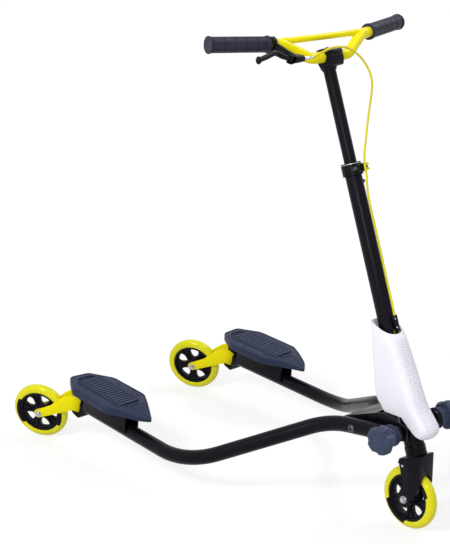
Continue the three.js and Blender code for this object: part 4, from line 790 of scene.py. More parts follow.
def tyre_solid():
    side = [(HUB_RADIUS + 0.6, 11.4), (HUB_RADIUS + 1.4, 12.4), (HUB_RADIUS + 3.2, 12.92)]
    groove = 0.35
    crown = arc(WHEEL_RADIUS - TYRE_HALF, 0, TYRE_HALF, -90, 90, 40)
    profile = [(r, -y) for r, y in side] + crown + side[::-1]
    shaped = []
    for r, y in profile:
        depth = groove if abs(abs(y) - GROOVE_OUT) < GROOVE_HALF and r > CROWN_FROM else 0
        shaped.append((r - depth, y))
    return lathe(shaped, 128)


def window_outline():
    reach = WINDOW_OUTER - WINDOW_INNER
    root = WINDOW_INNER + reach * 0.3
    widest = WINDOW_INNER + reach * 0.64
    corners = [
        (WINDOW_INNER, 2.2), (root, WINDOW_HALF * 0.72), (widest, WINDOW_HALF),
        (WINDOW_OUTER - 1, WINDOW_HALF * 0.86), (WINDOW_OUTER, 0),
        (WINDOW_OUTER - 1, -WINDOW_HALF * 0.86), (widest, -WINDOW_HALF),
        (root, -WINDOW_HALF * 0.72), (WINDOW_INNER, -2.2),
    ]
    return fillet(corners, 5, 6)


def hub_object(name):
    half = [
        (6.5, 4.7), (11.3, 4.7), (11.3, BOSS_HALF), (BOSS_RADIUS, BOSS_HALF),
        (BOSS_RADIUS + 3, WEB_HALF + 1), (WINDOW_INNER + 1, WEB_HALF),
        (HUB_RADIUS - 10, WEB_HALF), (HUB_RADIUS - 7, WEB_HALF + 1.6),
        (HUB_RADIUS - 5.4, RIM_HALF), (HUB_RADIUS, RIM_HALF),
    ]
    profile = fillet(half + [(r, -y) for r, y in half[::-1]], 0.8, 2)
    obj = raw_object(name, lathe(profile, 100))
    window = extruded(window_outline(), -30, 30)
    cutter = repeated(name + "_windows", moved(window, turned(36, "Y")), WINDOW_COUNT,
                      turn=(0, TAU / WINDOW_COUNT, 0), finish=FINISHES["black_plastic"])
    carve(obj, cutter)
    soften(obj, 0.9, 3, 40)
    return obj


def spoke_detail():
    """The ridges that fork along each spoke, on both faces."""
    solids = []
    for side in (-1, 1):
        for lean in (-1, 1):
            rib = [(19, lean * 2 - 1.3), (33, lean * 3.2 - 1.3), (47.5, lean * 8.5 - 1.5),
                   (47.5, lean * 8.5 + 1.5), (33, lean * 3.2 + 1.3), (19, lean * 2 + 1.3)]
            low, high = sorted((side * (WEB_HALF - 0.5), side * (WEB_HALF + 2.6)))
            solids.append(extruded(rib, low, high))
    return together(*solids)


def lug_solid(faces):
    """A broad lug of the hub that keys the tyre, on the faces that carry one."""
    solids = []
    for side in faces:
        outer = arc(0, 0, LUG_RADIUS, -LUG_TURN, LUG_TURN, 26)
        inner = arc(0, 0, HUB_RADIUS - 0.6, LUG_TURN + 3, -LUG_TURN - 3, 26)
        low, high = sorted((side * 10.6, side * (TYRE_HALF + 0.45)))
        solids.append(extruded(outer + inner, low, high))
        band = arc(0, 0, LUG_RADIUS - 1.6, -LUG_TURN + 3, LUG_TURN - 3, 22)
        inside = arc(0, 0, LUG_RADIUS - 3, LUG_TURN - 3, -LUG_TURN + 3, 22)
        low, high = sorted((side * (TYRE_HALF + 0.3), side * (TYRE_HALF + 0.95)))
        solids.append(extruded(band + inside, low, high))
    return together(*solids)


def bearing_solid(spacer_end):
    """A ball bearing with its spacer out to the fork."""
    profile = [
        (4.3, 5), (10.8, 5), (11, 5.3), (11, 11.7), (10.8, 12), (9.5, 12), (9.3, 11.5), (7.1, 11.5),
        (6.9, 12), (6.2, 12.2), (6.2, spacer_end), (4.3, spacer_end),
    ]
    return lathe(profile, 48)


def make_wheel(label, place, body, fork_inside, hub_turn, lug_turn, lug_faces):
    piece(label + "_tyre_cast", tyre_solid(), place, "yellow_tyre", body, label + "_tyre", smooth=50)
    hub = hub_object(label + "_hub_moulding")
    hub.data.transform(turned(hub_turn, "Y"))
    piece(hub.name, hub, place, "black_plastic", body, label + "_hub", smooth=30)
    detail = repeated(label + "_spoke_ribs", spoke_detail(), WINDOW_COUNT,
                      turn=(0, TAU / WINDOW_COUNT, 0), finish=FINISHES["black_plastic"], bevel=0.45)
    piece(label + "_spoke_ribs", moved(detail, turned(hub_turn, "Y")), place, "black_plastic", body)
    lugs = repeated(label + "_lugs", lug_solid(lug_faces), LUG_COUNT, turn=(0, TAU / LUG_COUNT, 0),
                    finish=FINISHES["black_plastic"], bevel=0.3)
    piece(label + "_tyre_lugs", moved(lugs, turned(lug_turn, "Y")), place, "black_plastic", body)
    for side, turn in (("left", 0), ("right", 180)):
        solid = moved(bearing_solid(fork_inside - GAP), turned(turn, "X"))
        piece(f"{label}_ball_bearing_{side}", solid, place, "steel", body, f"{label}_bearing_{side}")


def make_axle(label, place, body, fork_half):
    """A bolt with a domed head on the left of the fork, and a lock nut on its right."""
    start = fork_half + GAP
    washer = ring(WASHER_RADIUS, AXLE_RADIUS + GAP, start, start + WASHER_DEPTH, 0.3, 48)
    shaft = disc(AXLE_RADIUS, -start - 7.5, start + 4.6, 0.6, 32)
    dome = lathe([
        (0, start + 4), (5.2, start + 4), (4.6, start + 4.85), (2.4, start + 5), (0, start + 5),
    ], 40)
    hex_fastener(label + "_axle_bolt_steel", place, body, AXLE_HEX, start + 0.9, start + 4.5,
                 label + "_axle_bolt", (washer, shaft, dome))
    low = -start - 5.6
    washer = ring(WASHER_RADIUS, AXLE_RADIUS + GAP, -start - WASHER_DEPTH, -start, 0.3, 48)
    lock = ring(5.6, AXLE_RADIUS + 0.2, low - 0.9, low + 0.5, 0.4, 40)
    hex_fastener(label + "_axle_nut_steel", place, body, AXLE_HEX, low, -start - 0.9,
                 label + "_axle_nut", (washer, lock))


def make_wheels():
    make_wheel("front", AXLE, "front_wheel", FRONT_FORK_HALF - FORK_WALL, 10, -52, (-1, 1))
    make_axle("front", AXLE, "steering", FRONT_FORK_HALF)
    for side, hub_turn, outside in (("left", 8, 1), ("right", 25, -1)):
        make_wheel("rear_" + side, WHEEL[side], "rear_wheel_" + side, REAR_FORK_HALF - FORK_WALL,
                   hub_turn, -18, (outside,))
        make_axle("rear_" + side, WHEEL[side], "caster_" + side, REAR_FORK_HALF)


make_wheels()

# Front fork, with its brake
FORK_REACH = 42
FORK_LENGTH = 62
FORK_BOSS = 19
ARCH_HALF = 16
ARCH_SPRING = 44
ARCH_RISE = 21.5
BRAKE_BORE = 2.8
STEERER_RADIUS = 14
STEERER_BORE = 11
STEERER_TOP = 252
DIMPLE_LEVELS = (56, 92)
DIMPLE_OUT = 17.5
FORK_FRONT_SHARES = [(1, 0.422), (0.84, 0.206), (0.73, 0.053)]
FORK_REAR_SHARES = [(0.226, 0.312), (0.194, 0.398)]


def crown_rise(x):
    return CROWN_HEIGHT + (x - CROWN_X) * math.tan(RAKE)


def arch_outline():
    """The opening that the wheel stands in, seen from before the fork."""
    top = arc(0, 0, ARCH_HALF, 0, 180, 28)[1:-1]
    return [
        (-ARCH_HALF, -FAR), (ARCH_HALF, -FAR), (ARCH_HALF, ARCH_SPRING),
        *[(u, ARCH_SPRING + v * ARCH_RISE / ARCH_HALF) for u, v in top], (-ARCH_HALF, ARCH_SPRING),
    ]


def make_front_fork():
    """A box fork, open behind and below, with its steerer tube and two raised dots a side."""
    rear = FORK_REACH - FORK_LENGTH
    front = from_shares(FORK_FRONT_SHARES, FORK_LENGTH, CROWN_HEIGHT, rear)
    back = from_shares(FORK_REAR_SHARES, FORK_LENGTH, CROWN_HEIGHT, rear)
    boss = arc(0, 0, FORK_BOSS, 160, 375, 36)
    outline = [(FORK_REACH, crown_rise(FORK_REACH)), (rear, crown_rise(rear)), *back[::-1]]
    radii = [3, 3, 6, 6] + [0.01] * len(boss) + [8, 8, 5]
    side = fillet(outline + boss + front[::-1], radii, 4)
    obj = raw_object("front_fork_weldment", extruded(side, -FRONT_FORK_HALF, FRONT_FORK_HALF))
    inside = FRONT_FORK_HALF - FORK_WALL
    ahead = FORK_REACH - FORK_WALL
    under = FORK_WALL / math.cos(RAKE)
    hollow = [
        (ahead, -FAR), (ahead, crown_rise(ahead) - under), (-FAR, crown_rise(-FAR) - under), (-FAR, -FAR),
    ]
    carve(obj, extruded(hollow, -inside, inside))
    carve(obj, moved(extruded(arch_outline(), -THROUGH, THROUGH), shifted(FORK_REACH) @ turned(90, "Z")))
    carve(obj, across_rod(AXLE_RADIUS + GAP, -THROUGH, THROUGH))
    carve(obj, across_rod(BRAKE_BORE, -THROUGH, THROUGH, -BRAKE_PIVOT_BEHIND, BRAKE_PIVOT_RISE))
    line = shifted(CROWN_X, 0, CROWN_HEIGHT) @ turned(-math.degrees(RAKE), "Y")
    carve(obj, moved(upright(disc(STEERER_BORE, -40, 40)), line))
    soften(obj, 1.5, 3, 35)
    steerer = moved(upright(ring(STEERER_RADIUS, STEERER_BORE, -1.5, STEERER_TOP, 0.5, 48)), line)
    dimples = []
    dimple = lathe([(0, -0.4), (2.6, -0.4), (2.4, 0.35), (1.4, 0.75), (0, 0.85)], 24)
    facing = turned(-90, "Z")
    for rise in DIMPLE_LEVELS:
        for side in (-1, 1):
            place = shifted(FORK_REACH - 0.3, side * DIMPLE_OUT, rise)
            dimples.append(moved(dimple, place @ facing))
    weld = moved(upright(lathe(weld_ring(14.4), 64)), line)
    solid = together(taken(obj), steerer, weld, *dimples)
    piece("front_fork_weldment", solid, AXLE, "black_paint", "steering", "front_fork", smooth=32)


def weld_ring(radius, size=1.6):
    """The section of a weld bead that runs round a tube of this radius."""
    angles = [TAU * k / 12 for k in range(12)]
    return [(radius - size * 0.3 + size * math.cos(a), size * math.sin(a)) for a in angles]


def make_brake():
    """The rocking arm over the tyre, its rubber pad and the screw that it turns on."""
    outline = fillet([
        (-21, -3), (-3, -4.6), (3, -4.6), (24, 6), (24, 9), (3, 4.6), (-3, 4.6), (-21, 3),
    ], 1.6, 4)
    piece("brake_arm_forging", extruded(outline, -13, 13), BRAKE, "black_paint", "brake_shoe", "brake_arm",
          cuts=[across_rod(BRAKE_BORE, -THROUGH / 2, THROUGH / 2)], bevel=0.7)
    face = WHEEL_RADIUS + 1.3

    def tread(x):
        return math.sqrt(face ** 2 - (x - BRAKE_PIVOT_BEHIND) ** 2) - BRAKE_PIVOT_RISE

    under = [(x, tread(x)) for x in (-21, -18, -14.5, -11, -8)]
    pad = under + [(-8, -4.2), (-21, -3.3)]
    piece("brake_pad_rubber", extruded(pad, -9, 9), BRAKE, "grip_rubber", "brake_shoe", "brake_pad",
          bevel=0.4)
    reach = FRONT_FORK_HALF + GAP
    dome = lathe([(0, -reach - 2), (1.6, -reach - 1.9), (3, -reach - 1.2), (3.5, -reach), (0, -reach)], 40)
    obj = raw_object("brake_pivot_screw", dome)
    carve(obj, block((-5, -reach - 4, -0.45), (5, -reach - 1.1, 0.45)))
    rod = disc(2.5, -reach - 0.6, reach + 3.2, 0.4, 32)
    nut = hexagon(3.5, reach, reach + 3.4)
    piece("brake_pivot_screw", together(taken(obj), rod, nut), BRAKE, "steel", "steering",
          "brake_pivot_bolt")


make_front_fork()
make_brake()

# Head tube, bracket and pivots
TUBE_BOTTOM = 14
TUBE_TOP = 152
RACE_TOP = 161.7
RACE_BORE = 14.3
PLATE_HALF = 5
PLATE_GAP = 1.3


def make_head():
    tube = fillet([
        (17, TUBE_BOTTOM), (23.5, TUBE_BOTTOM), (23.5, TUBE_BOTTOM + 8),
        (HEAD_TUBE_RADIUS, TUBE_BOTTOM + 9.5), (HEAD_TUBE_RADIUS, TUBE_TOP), (17, TUBE_TOP),
    ], 0.9, 3)
    piece("head_tube_steel", upright(lathe(tube, 96)), HEAD_LINE, "black_paint", "chassis", "head_tube")
    lower = fillet([
        (RACE_BORE, GAP), (22.6, GAP), (23.5, 1.6), (23.5, 7), (22.4, 7.6), (22.4, 8.6), (23.5, 9.2),
        (23.5, 13.4), (RACE_BORE, 13.4),
    ], 0.5, 2)
    piece("lower_headset_cup", upright(lathe(lower, 96)), STEERING, "black_paint", "steering",
          "lower_headset_race")
    upper = upright(ring(HEAD_TUBE_RADIUS, RACE_BORE, TUBE_TOP + GAP, RACE_TOP, 1.2, 96))
    piece("upper_headset_cup", upper, HEAD_LINE, "steel", "chassis", "upper_headset_race")


def smooth_copy(name, node, place, width, segments=2, angle=30):
    """A copy of a plain node, in millimetres in a place's frame, with its edges rounded."""
    mesh = frame["nodes"][node].data.copy()
    mesh.transform(place.inverted())
    shape = bmesh.new()
    shape.from_mesh(mesh)
    bmesh.ops.remove_doubles(shape, verts=shape.verts, dist=WELD)
    bmesh.ops.dissolve_limit(shape, angle_limit=math.radians(1), verts=shape.verts, edges=shape.edges)
    bmesh.ops.recalc_face_normals(shape, faces=shape.faces)
    shape.to_mesh(mesh)
    shape.free()
    obj = bpy.data.objects.new(name, mesh)
    bpy.context.scene.collection.objects.link(obj)
    soften(obj, width, segments, angle)
    return obj


def make_bracket():
    obj = smooth_copy("head_bracket_pressing", "head_bracket", HEAD, 1.1, 2)
    piece(obj.name, obj, HEAD, "black_paint", "chassis", "head_bracket", smooth=32)


def make_pivots():
    """The bolts that the arms fold on, each with a sunk hexagon in its head, and their nuts."""
    outside = ARM_RADIUS + GAP
    inside = -ARM_RADIUS - PLATE_GAP - PLATE_HALF - GAP
    top = outside + 4
    profile = fillet_open([(0, outside), (8.5, outside), (8.5, outside + 1.4), (6, top), (0, top)], 0.9, 4)
    head = lathe(profile + [(0, top), (0, outside)], 48)
    for side in SIDES:
        obj = raw_object("pivot_head", head)
        socket = hexagon(2.6, outside + 1.6, outside + 8)
        carve(obj, socket)
        washer = ring(9.4, 4.4, outside - 0.2, outside + 0.7, 0.2, 48)
        shaft = disc(4, inside - 6, outside + 1, 0.4, 32)
        nut = hexagon(7.5, inside - 6, inside)
        piece("pivot_screw_" + side, together(taken(obj), washer, shaft, nut), FOLD, "dark_steel", "chassis",
              "pivot_bolt_" + side, mirrored=side == "right", smooth=30)


make_head()
make_bracket()
make_pivots()

# Folding arms
ARM_NOSE = 66
FRONT_BEND = 73.3
ARM_BEND_RADII = (180, 220)
HEAD_FROM_FOLD = HEAD.inverted() @ FOLD
HEAD_FROM_CASTER = HEAD.inverted() @ CASTER["left"]
REAR_BEND = Vector((-455, 265, -96.8))
YOKE_AHEAD = 17.5
YOKE_WALL = 3
YOKE_HALF = 19
YOKE_BOTTOM = -30
YOKE_GAP = 49
SWIVEL_BORE = 4.3
ARM_SIDES = 48
STUD_SLOT = 5.6
KNOB_SKIRT = 25
KNOB_BODY = 25
LOBE_COUNT = 5
FLUTE_COUNT = 30


def arm_corners():
    """The corners of the left arm's middle line, in the head's frame."""
    nose = HEAD_FROM_FOLD @ Vector((ARM_NOSE, 0, ARM_NOSE * math.tan(ARM_RISE)))
    front_bend = HEAD_FROM_FOLD @ Vector((-FRONT_BEND, 0, -FRONT_BEND * math.tan(ARM_RISE)))
    rear_end = HEAD_FROM_CASTER @ Vector((YOKE_AHEAD + YOKE_WALL / 2, 0, 4.2))
    return nose, front_bend, REAR_BEND, rear_end


def arm_tube():
    """The bent tube with a rounded nose, as rings of points in the head's frame."""
    nose, front_bend, rear_bend, rear_end = arm_corners()
    ahead = (nose - front_bend).normalized()
    beyond = rear_end + (rear_end - rear_bend).normalized() * 4
    path = bent_path([nose - ahead * 2.2, front_bend, rear_bend, beyond], ARM_BEND_RADII, 22)
    tips = [(0.0, 13.6), (0.45, 15.6), (1.2, 16.8), (2.2, ARM_RADIUS)]
    first = [nose - ahead * back for back, _ in tips]
    radii = [radius for _, radius in tips] + [ARM_RADIUS] * (len(path) - 1)
    return swept(first + path[1:], radii, ARM_SIDES)


def flange_plate(low, high):
    """One cheek of the yoke that holds a caster, seen from above."""
    outline = [(YOKE_AHEAD + YOKE_WALL, YOKE_HALF), *arc(0, 0, YOKE_HALF, 90, 270, 24),
               (YOKE_AHEAD + YOKE_WALL, -YOKE_HALF)]
    obj = raw_object("flange", extruded(outline, low, high, "z"))
    carve(obj, upright(disc(SWIVEL_BORE, -FAR, FAR)))
    soften(obj, 0.8)
    return taken(obj)


def yoke_solid():
    """The caster's yoke: a wall across the arm's end and a cheek above and below."""
    wall_top = YOKE_BOTTOM + 66
    outline = fillet([(-YOKE_HALF, YOKE_BOTTOM), (YOKE_HALF, YOKE_BOTTOM), (YOKE_HALF, wall_top),
                      (-YOKE_HALF, wall_top)], [2, 2, 11, 11], 6)
    wall = raw_object("wall", extruded(outline, -YOKE_AHEAD - YOKE_WALL, -YOKE_AHEAD))
    soften(wall, 0.8)
    wall = moved(taken(wall), turned(90, "Z"))
    upper = YOKE_BOTTOM + YOKE_WALL + YOKE_GAP
    return together(wall, flange_plate(YOKE_BOTTOM, YOKE_BOTTOM + YOKE_WALL),
                    flange_plate(upper, upper + YOKE_WALL))


def bead_round(centre, direction, radius, size=1.7, bumps=46):
    """A rippled weld bead round a tube."""
    direction = direction.normalized()
    side = direction.cross(UP).normalized()
    rise = side.cross(direction)
    points = []
    radii = []
    steps = bumps * 3
    for k in range(steps + 1):
        angle = TAU * k / steps
        points.append(centre + (side * math.cos(angle) + rise * math.sin(angle)) * radius)
        radii.append(size * (1 + 0.16 * math.cos(angle * bumps)))
    return swept(points, radii, 8, side_hint=direction)


def make_arms():
    _, _, rear_bend, rear_end = arm_corners()
    yoke = moved(yoke_solid(), HEAD_FROM_CASTER)
    rear_bead = bead_round(rear_end + (rear_bend - rear_end).normalized() * 2.8, rear_bend - rear_end, 17.3)
    solid = together(arm_tube(), yoke, rear_bead)
    for side in SIDES:
        piece("arm_weldment_" + side, solid, HEAD, "black_paint", "swing_arm_" + side, "arm_" + side,
              mirrored=side == "right", smooth=34)
        make_end_plate(side)
        make_swivel_bolt(side)


def make_swivel_bolt(side):
    """The nut under the yoke with the bolt's shaft, and the head on top of it."""
    depth = 5
    foot = YOKE_BOTTOM - GAP - depth
    top = YOKE_BOTTOM + 2 * YOKE_WALL + YOKE_GAP + GAP
    shaft = disc(4, YOKE_BOTTOM - 1, 29, 0.4, 32)
    for end, low, seat, extra in (("foot", foot, foot + depth - 1, (shaft,)), ("top", top, top, ())):
        cup = ring(9.4, 4.4, seat, seat + 1, 0.3, 48)
        hex_fastener(f"swivel_{end}_{side}", CASTER[side] @ turned(90, "X"), "swing_arm_" + side, AXLE_HEX,
                     low, low + depth, "swivel_bolt_" + side, (*extra, cup))


def make_end_plate(side):
    """The slotted plate in the arm's nose that the knob's stud passes through."""
    centre = (STUD_AHEAD, 0)
    outline = [(50, 17), (50, -17), (84, -17), *arc(*centre, 22, -130, 130, 40), (84, 17)]
    obj = raw_object("arm_nose_plate_" + side, extruded(outline, -PLATE_HALF, PLATE_HALF))
    obj.data.transform(turned(-math.degrees(ARM_RISE), "Y"))
    rise = STUD_AHEAD * math.tan(ARM_RISE)
    slot = [
        (STUD_AHEAD + STUD_SLOT, rise), (STUD_AHEAD + 5.3, rise + THROUGH),
        (STUD_AHEAD - 15.6, rise + THROUGH), (STUD_AHEAD - STUD_SLOT, rise),
        *arc(STUD_AHEAD, rise, STUD_SLOT, 180, 360, 20)[1:-1],
    ]
    carve(obj, extruded(slot, -PLATE_HALF - 1, PLATE_HALF + 1))
    soften(obj, 1.4, 3)
    beads = []
    for face in (-1, 1):
        steps = 40
        line = [Vector((62 + 5 * math.sin(math.pi * k / steps), face * 5.2, -15 + 30 * k / steps))
                for k in range(steps + 1)]
        radii = [1.9 * (1 + 0.15 * math.cos(k * 1.6)) for k in range(steps + 1)]
        beads.append(moved(swept(line, radii, 8), turned(-math.degrees(ARM_RISE), "Y")))
    solid = together(taken(obj), *beads)
    piece("arm_nose_plate_" + side, solid, FOLD, "black_paint", "swing_arm_" + side, "arm_end_plate_" + side,
          mirrored=side == "right", smooth=32)


def make_knobs():
    """Lobed knobs, each on a fluted skirt that reaches in to the arm's end plate."""
    start = PLATE_HALF + GAP
    body_start = start + KNOB_SKIRT
    body_end = body_start + KNOB_BODY
    body = fillet_open([(0, body_start), (28, body_start), (32.8, body_start + 5), (32.8, body_end - 7),
                        (28.5, body_end), (0, body_end)], 3.4, 6)
    obj = raw_object("knob", lathe([(0, body_start), *body, (0, body_end)], 120))
    for radius, low in ((13.5, body_start - 5), (17.2, body_end - 1.5)):
        scoop = moved(across_rod(radius, low, body_end + 5, 39.5, 0, 48), turned(28, "Y"))
        scoops = repeated("scoops", scoop, LOBE_COUNT, turn=(0, TAU / LOBE_COUNT, 0),
                          finish=FINISHES["knob_plastic"])
        carve(obj, scoops)
    soften(obj, 1.1, 3, 40)
    skirt = ring(21, 5.4, start, body_start + 0.5, 1.2, 72)
    collar = ring(22.6, 15, body_start - 3.4, body_start + 0.4, 0.9, 72)
    flange = ring(24.5, 15, start + 0.2, start + 2.6, 0.8, 72)
    flute = moved(disc(1.1, start + 3, body_start - 4.4, 0.6, 12), shifted(21))
    grips = repeated("skirt_flutes", flute, FLUTE_COUNT, turn=(0, TAU / FLUTE_COUNT, 0),
                     finish=FINISHES["knob_plastic"])
    rim = ring(17.6, 16.2, body_end - 1, body_end + 0.7, 0.4, 72)
    hub = lathe([(0, body_end - 1), (13, body_end - 1), (13, body_end + 0.2), (11, body_end + 0.7),
                 (5, body_end + 1.1), (0, body_end + 1.2)], 64)
    solid = together(taken(obj), skirt, collar, flange, grips, rim, hub)
    for side in SIDES:
        piece("knob_moulding_" + side, solid, KNOB, "knob_plastic", "arm_knob_" + side, "knob_" + side,
              mirrored=side == "right", smooth=34)


make_arms()
make_knobs()

# Casters: the yellow folded forks
FORK_TOP_SHARES = [(0.388, 0), (0.55, 0.1), (0.72, 0.45)]
CHEEK_END_RADIUS = 11


def make_rear_forks():
    """One folded sheet: a closed housing in the yoke, and two cheeks down to the axle."""
    bottom = YOKE_BOTTOM + YOKE_WALL + GAP
    top = bottom + YOKE_GAP - 2 * GAP
    fold = -12
    nose = 14
    end = REAR_AXLE.x
    depth = REAR_AXLE.z
    handle, low_handle, joint = [(a * end, b * depth) for a, b in FORK_TOP_SHARES]
    curve = bezier((fold, top), (handle[0], top), low_handle, joint, 26)
    outline = [(nose, bottom), (nose, top), (fold, top), *curve,
               *arc(end, depth, CHEEK_END_RADIUS, 125, 305, 30), (fold, bottom + 7.3)]
    obj = raw_object("rear_fork_pressing", extruded(outline, -REAR_FORK_HALF, REAR_FORK_HALF))

    def plan(rear, half, front, front_half):
        points = [(rear, half), (fold, half), (front, front_half), (front, -front_half), (fold, -half),
                  (rear, -half)]
        return fillet(points, [1, 9, 4, 4, 9, 1], 5)

    carve(obj, extruded(plan(end - 60, REAR_FORK_HALF, nose, 7), -150, 100, "z"), "INTERSECT")
    inner = plan(end - 90, REAR_FORK_HALF - FORK_WALL, nose - FORK_WALL, 5.5)
    housing = raw_object("housing", extruded(inner, bottom + FORK_WALL, top - FORK_WALL, "z"))
    carve(housing, block((-YOKE_HALF, -THROUGH, bottom), (THROUGH, THROUGH, top)), "INTERSECT")
    carve(obj, taken(housing))
    behind = raw_object("behind", extruded(inner, -200, 100, "z"))
    carve(behind, block((-240, -60, -240), (-YOKE_HALF, 60, 60)), "INTERSECT")
    carve(obj, taken(behind))
    carve(obj, upright(disc(SWIVEL_BORE, -FAR, FAR)))
    carve(obj, across_rod(AXLE_RADIUS + GAP, -THROUGH, THROUGH, end, depth))
    soften(obj, 0.9, 2, 32)
    pressed_line = ring(10, 8.9, REAR_FORK_HALF - 0.3, REAR_FORK_HALF + 0.25, 0.2, 48)
    other_line = ring(10, 8.9, -REAR_FORK_HALF - 0.25, -REAR_FORK_HALF + 0.3, 0.2, 48)
    at_axle = shifted(end, 0, depth)
    solid = together(taken(obj), moved(pressed_line, at_axle), moved(other_line, at_axle))
    for side in SIDES:
        piece("rear_fork_pressing_" + side, solid, TURNED[side], "yellow_paint", "caster_" + side,
              "rear_fork_" + side, smooth=34)


make_rear_forks()

# Decks
DECK_LENGTH = 289
DECK_WIDTH = 126
NOSE_FROM = 74
NOSE_DROP = 15
DECK_SHARES = [
    (-0.498, 0.219), (-0.294, 0.5), (0.149, 0.487), (0.426, 0.156),
    (0.502, -0.03), (0.152, -0.49), (-0.266, -0.489), (-0.481, -0.202),
]
PANEL = [(-124, -19), (-102, -36), (60, -36), (80, -15), (80, 13), (60, 34), (-102, 34), (-124, 17)]
RIB_START = -100
RIB_PITCH = 11.2
RIB_COUNT = 15
DOT_PITCH = 6
# Rows of studs: the place across the deck, with the first and last along it.
DOT_ROWS = [(51.4, -78, 30), (45.4, -92, 40), (39.4, -98, 48), (-40.4, -94, 42), (-52.4, -64, 24)]


def deck_frame():
    """The left deck's frame on the arm's rear straight, in metres."""
    _, _, rear_bend, rear_end = arm_corners()
    ahead = (rear_bend - rear_end).normalized()
    yaw = math.degrees(math.atan2(ahead.y, ahead.x))
    pitch = -math.degrees(math.atan2(ahead.z, math.hypot(ahead.x, ahead.y)))
    place = rear_bend.lerp(rear_end, 0.72)
    return HEAD @ Matrix.Translation(place) @ turned(yaw, "Z") @ turned(pitch, "Y")


DECK = deck_frame()


def stacked(rings):
    """A closed solid from rings of points, one above the next, capped at both ends."""
    count = len(rings[0])
    verts = [point for row in rings for point in row]
    faces = [tuple(range(count)), tuple(range((len(rings) - 1) * count, len(rings) * count))]
    for k in range(len(rings) - 1):
        for i in range(count):
            j = (i + 1) % count
            faces.append((k * count + i, k * count + j, (k + 1) * count + j, (k + 1) * count + i))
    return verts, faces


def level(outline, z):
    return [(x, y, z) for x, y in outline]


def nose_bend(place):
    """Lets the top of the deck's front fall away to its tip."""
    share = max(0.0, (place.x - NOSE_FROM) / (DECK_LENGTH / 2 + 2 - NOSE_FROM))
    height = (place.z - DECK_TOP + DECK_DEPTH) / DECK_DEPTH
    return Vector((place.x, place.y, place.z - NOSE_DROP * share ** 1.5 * (0.2 + 0.8 * height)))


def sliced(obj, low, high, step):
    """Adds cuts across X, so that flat faces can bend."""
    shape = bmesh.new()
    shape.from_mesh(obj.data)
    x = low
    while x < high:
        everything = shape.verts[:] + shape.edges[:] + shape.faces[:]
        bmesh.ops.bisect_plane(shape, geom=everything, plane_co=(x, 0, 0), plane_no=(1, 0, 0), dist=1e-4)
        x += step
    shape.to_mesh(obj.data)
    shape.free()
    return obj


def deck_body():
    """The deck's tray, its edge rounded, with two slots near its outer edge."""
    corners = [(along * DECK_LENGTH, out * DECK_WIDTH - 2) for along, out in DECK_SHARES]
    outline = fillet(corners, 10, 9)
    bottom = DECK_TOP - DECK_DEPTH

    def at(distance, z):
        return level(inset(outline, distance), z)

    rings = [
        at(5, DECK_TOP - 5), at(4, DECK_TOP - 5.6), at(4, bottom + 0.4), at(3.4, bottom),
        at(0.8, bottom), at(0.2, bottom + 0.5), at(0, bottom + 1.4), at(0, DECK_TOP - 3.4),
        at(0.3, DECK_TOP - 1.9), at(1.1, DECK_TOP - 0.7), at(2.3, DECK_TOP - 0.1), at(3.0, DECK_TOP),
        at(4.6, DECK_TOP), at(5.1, DECK_TOP - 0.25), at(5.4, DECK_TOP - 1.0), at(7.4, DECK_TOP - 1.0),
        at(7.8, DECK_TOP - 0.7), at(8.2, DECK_TOP - 0.55),
    ]
    obj = raw_object("deck_body", stacked(rings))
    for x in (-46, 30):
        slot = fillet([(x, -47.6), (x + 13, -47.6), (x + 13, -44.4), (x, -44.4)], 1.4, 4)
        carve(obj, extruded(slot, DECK_TOP - 3.2, DECK_TOP + 3, "z"))
    return sliced(obj, NOSE_FROM - 2, DECK_LENGTH / 2 + 4, 4)


def looped(rings):
    """A closed solid from rings of points, with the last joined to the first."""
    count = len(rings[0])
    total = len(rings)
    verts = [point for row in rings for point in row]
    faces = []
    for k in range(total):
        n = (k + 1) % total
        for i in range(count):
            j = (i + 1) % count
            faces.append((k * count + i, k * count + j, n * count + j, n * count + i))
    return verts, faces


def deck_panel():
    """The raised field with its border line."""
    outline = fillet(PANEL, 9, 6)
    base = DECK_TOP - 0.9
    rings = [
        level(outline, base), level(outline, base + 1.3), level(inset(outline, 0.5), base + 1.9),
        level(inset(outline, 2.0), base + 1.9), level(inset(outline, 2.6), base + 1.3),
        level(inset(outline, 2.9), base + 0.4), level(inset(outline, 3.4), base + 0.35),
    ]
    return sliced(raw_object("deck_panel", stacked(rings)), NOSE_FROM - 2, 84, 3)


def deck_ribs():
    """Ribs across the field, held inside its border, and a line along each of their ends."""
    base = DECK_TOP - 0.8
    top = DECK_TOP + 1.6
    section = [(-3, base), (3, base), (2.6, top - 0.5), (1.7, top), (-1.7, top), (-2.6, top - 0.5)]
    bar = moved(extruded(section, -27, 25), shifted(RIB_START))
    ribs = repeated("ribs", bar, RIB_COUNT, step=(RIB_PITCH, 0, 0), finish=FINISHES["knob_plastic"])
    end = RIB_START + RIB_PITCH * (RIB_COUNT - 1) + 6
    rails = [block((RIB_START - 6, y - 0.8, base), (end, y + 0.8, top - 0.4)) for y in (-30, 28)]
    return together(ribs, *rails)


def deck_dots():
    """Rows of studs along both sides, outside the field."""
    dome = [(1.9, 0), (1.75, 0.6), (1.1, 1.1), (0, 1.3), (0, 0)]
    stud = upright(lathe(dome, 10))
    rows = []
    for y, low, high in DOT_ROWS:
        count = int((high - low) / DOT_PITCH) + 1
        first = moved(stud, shifted(low, y, DECK_TOP - 0.75))
        rows.append(repeated("row", first, count, step=(DOT_PITCH, 0, 0), finish=FINISHES["knob_plastic"]))
    return together(*rows)


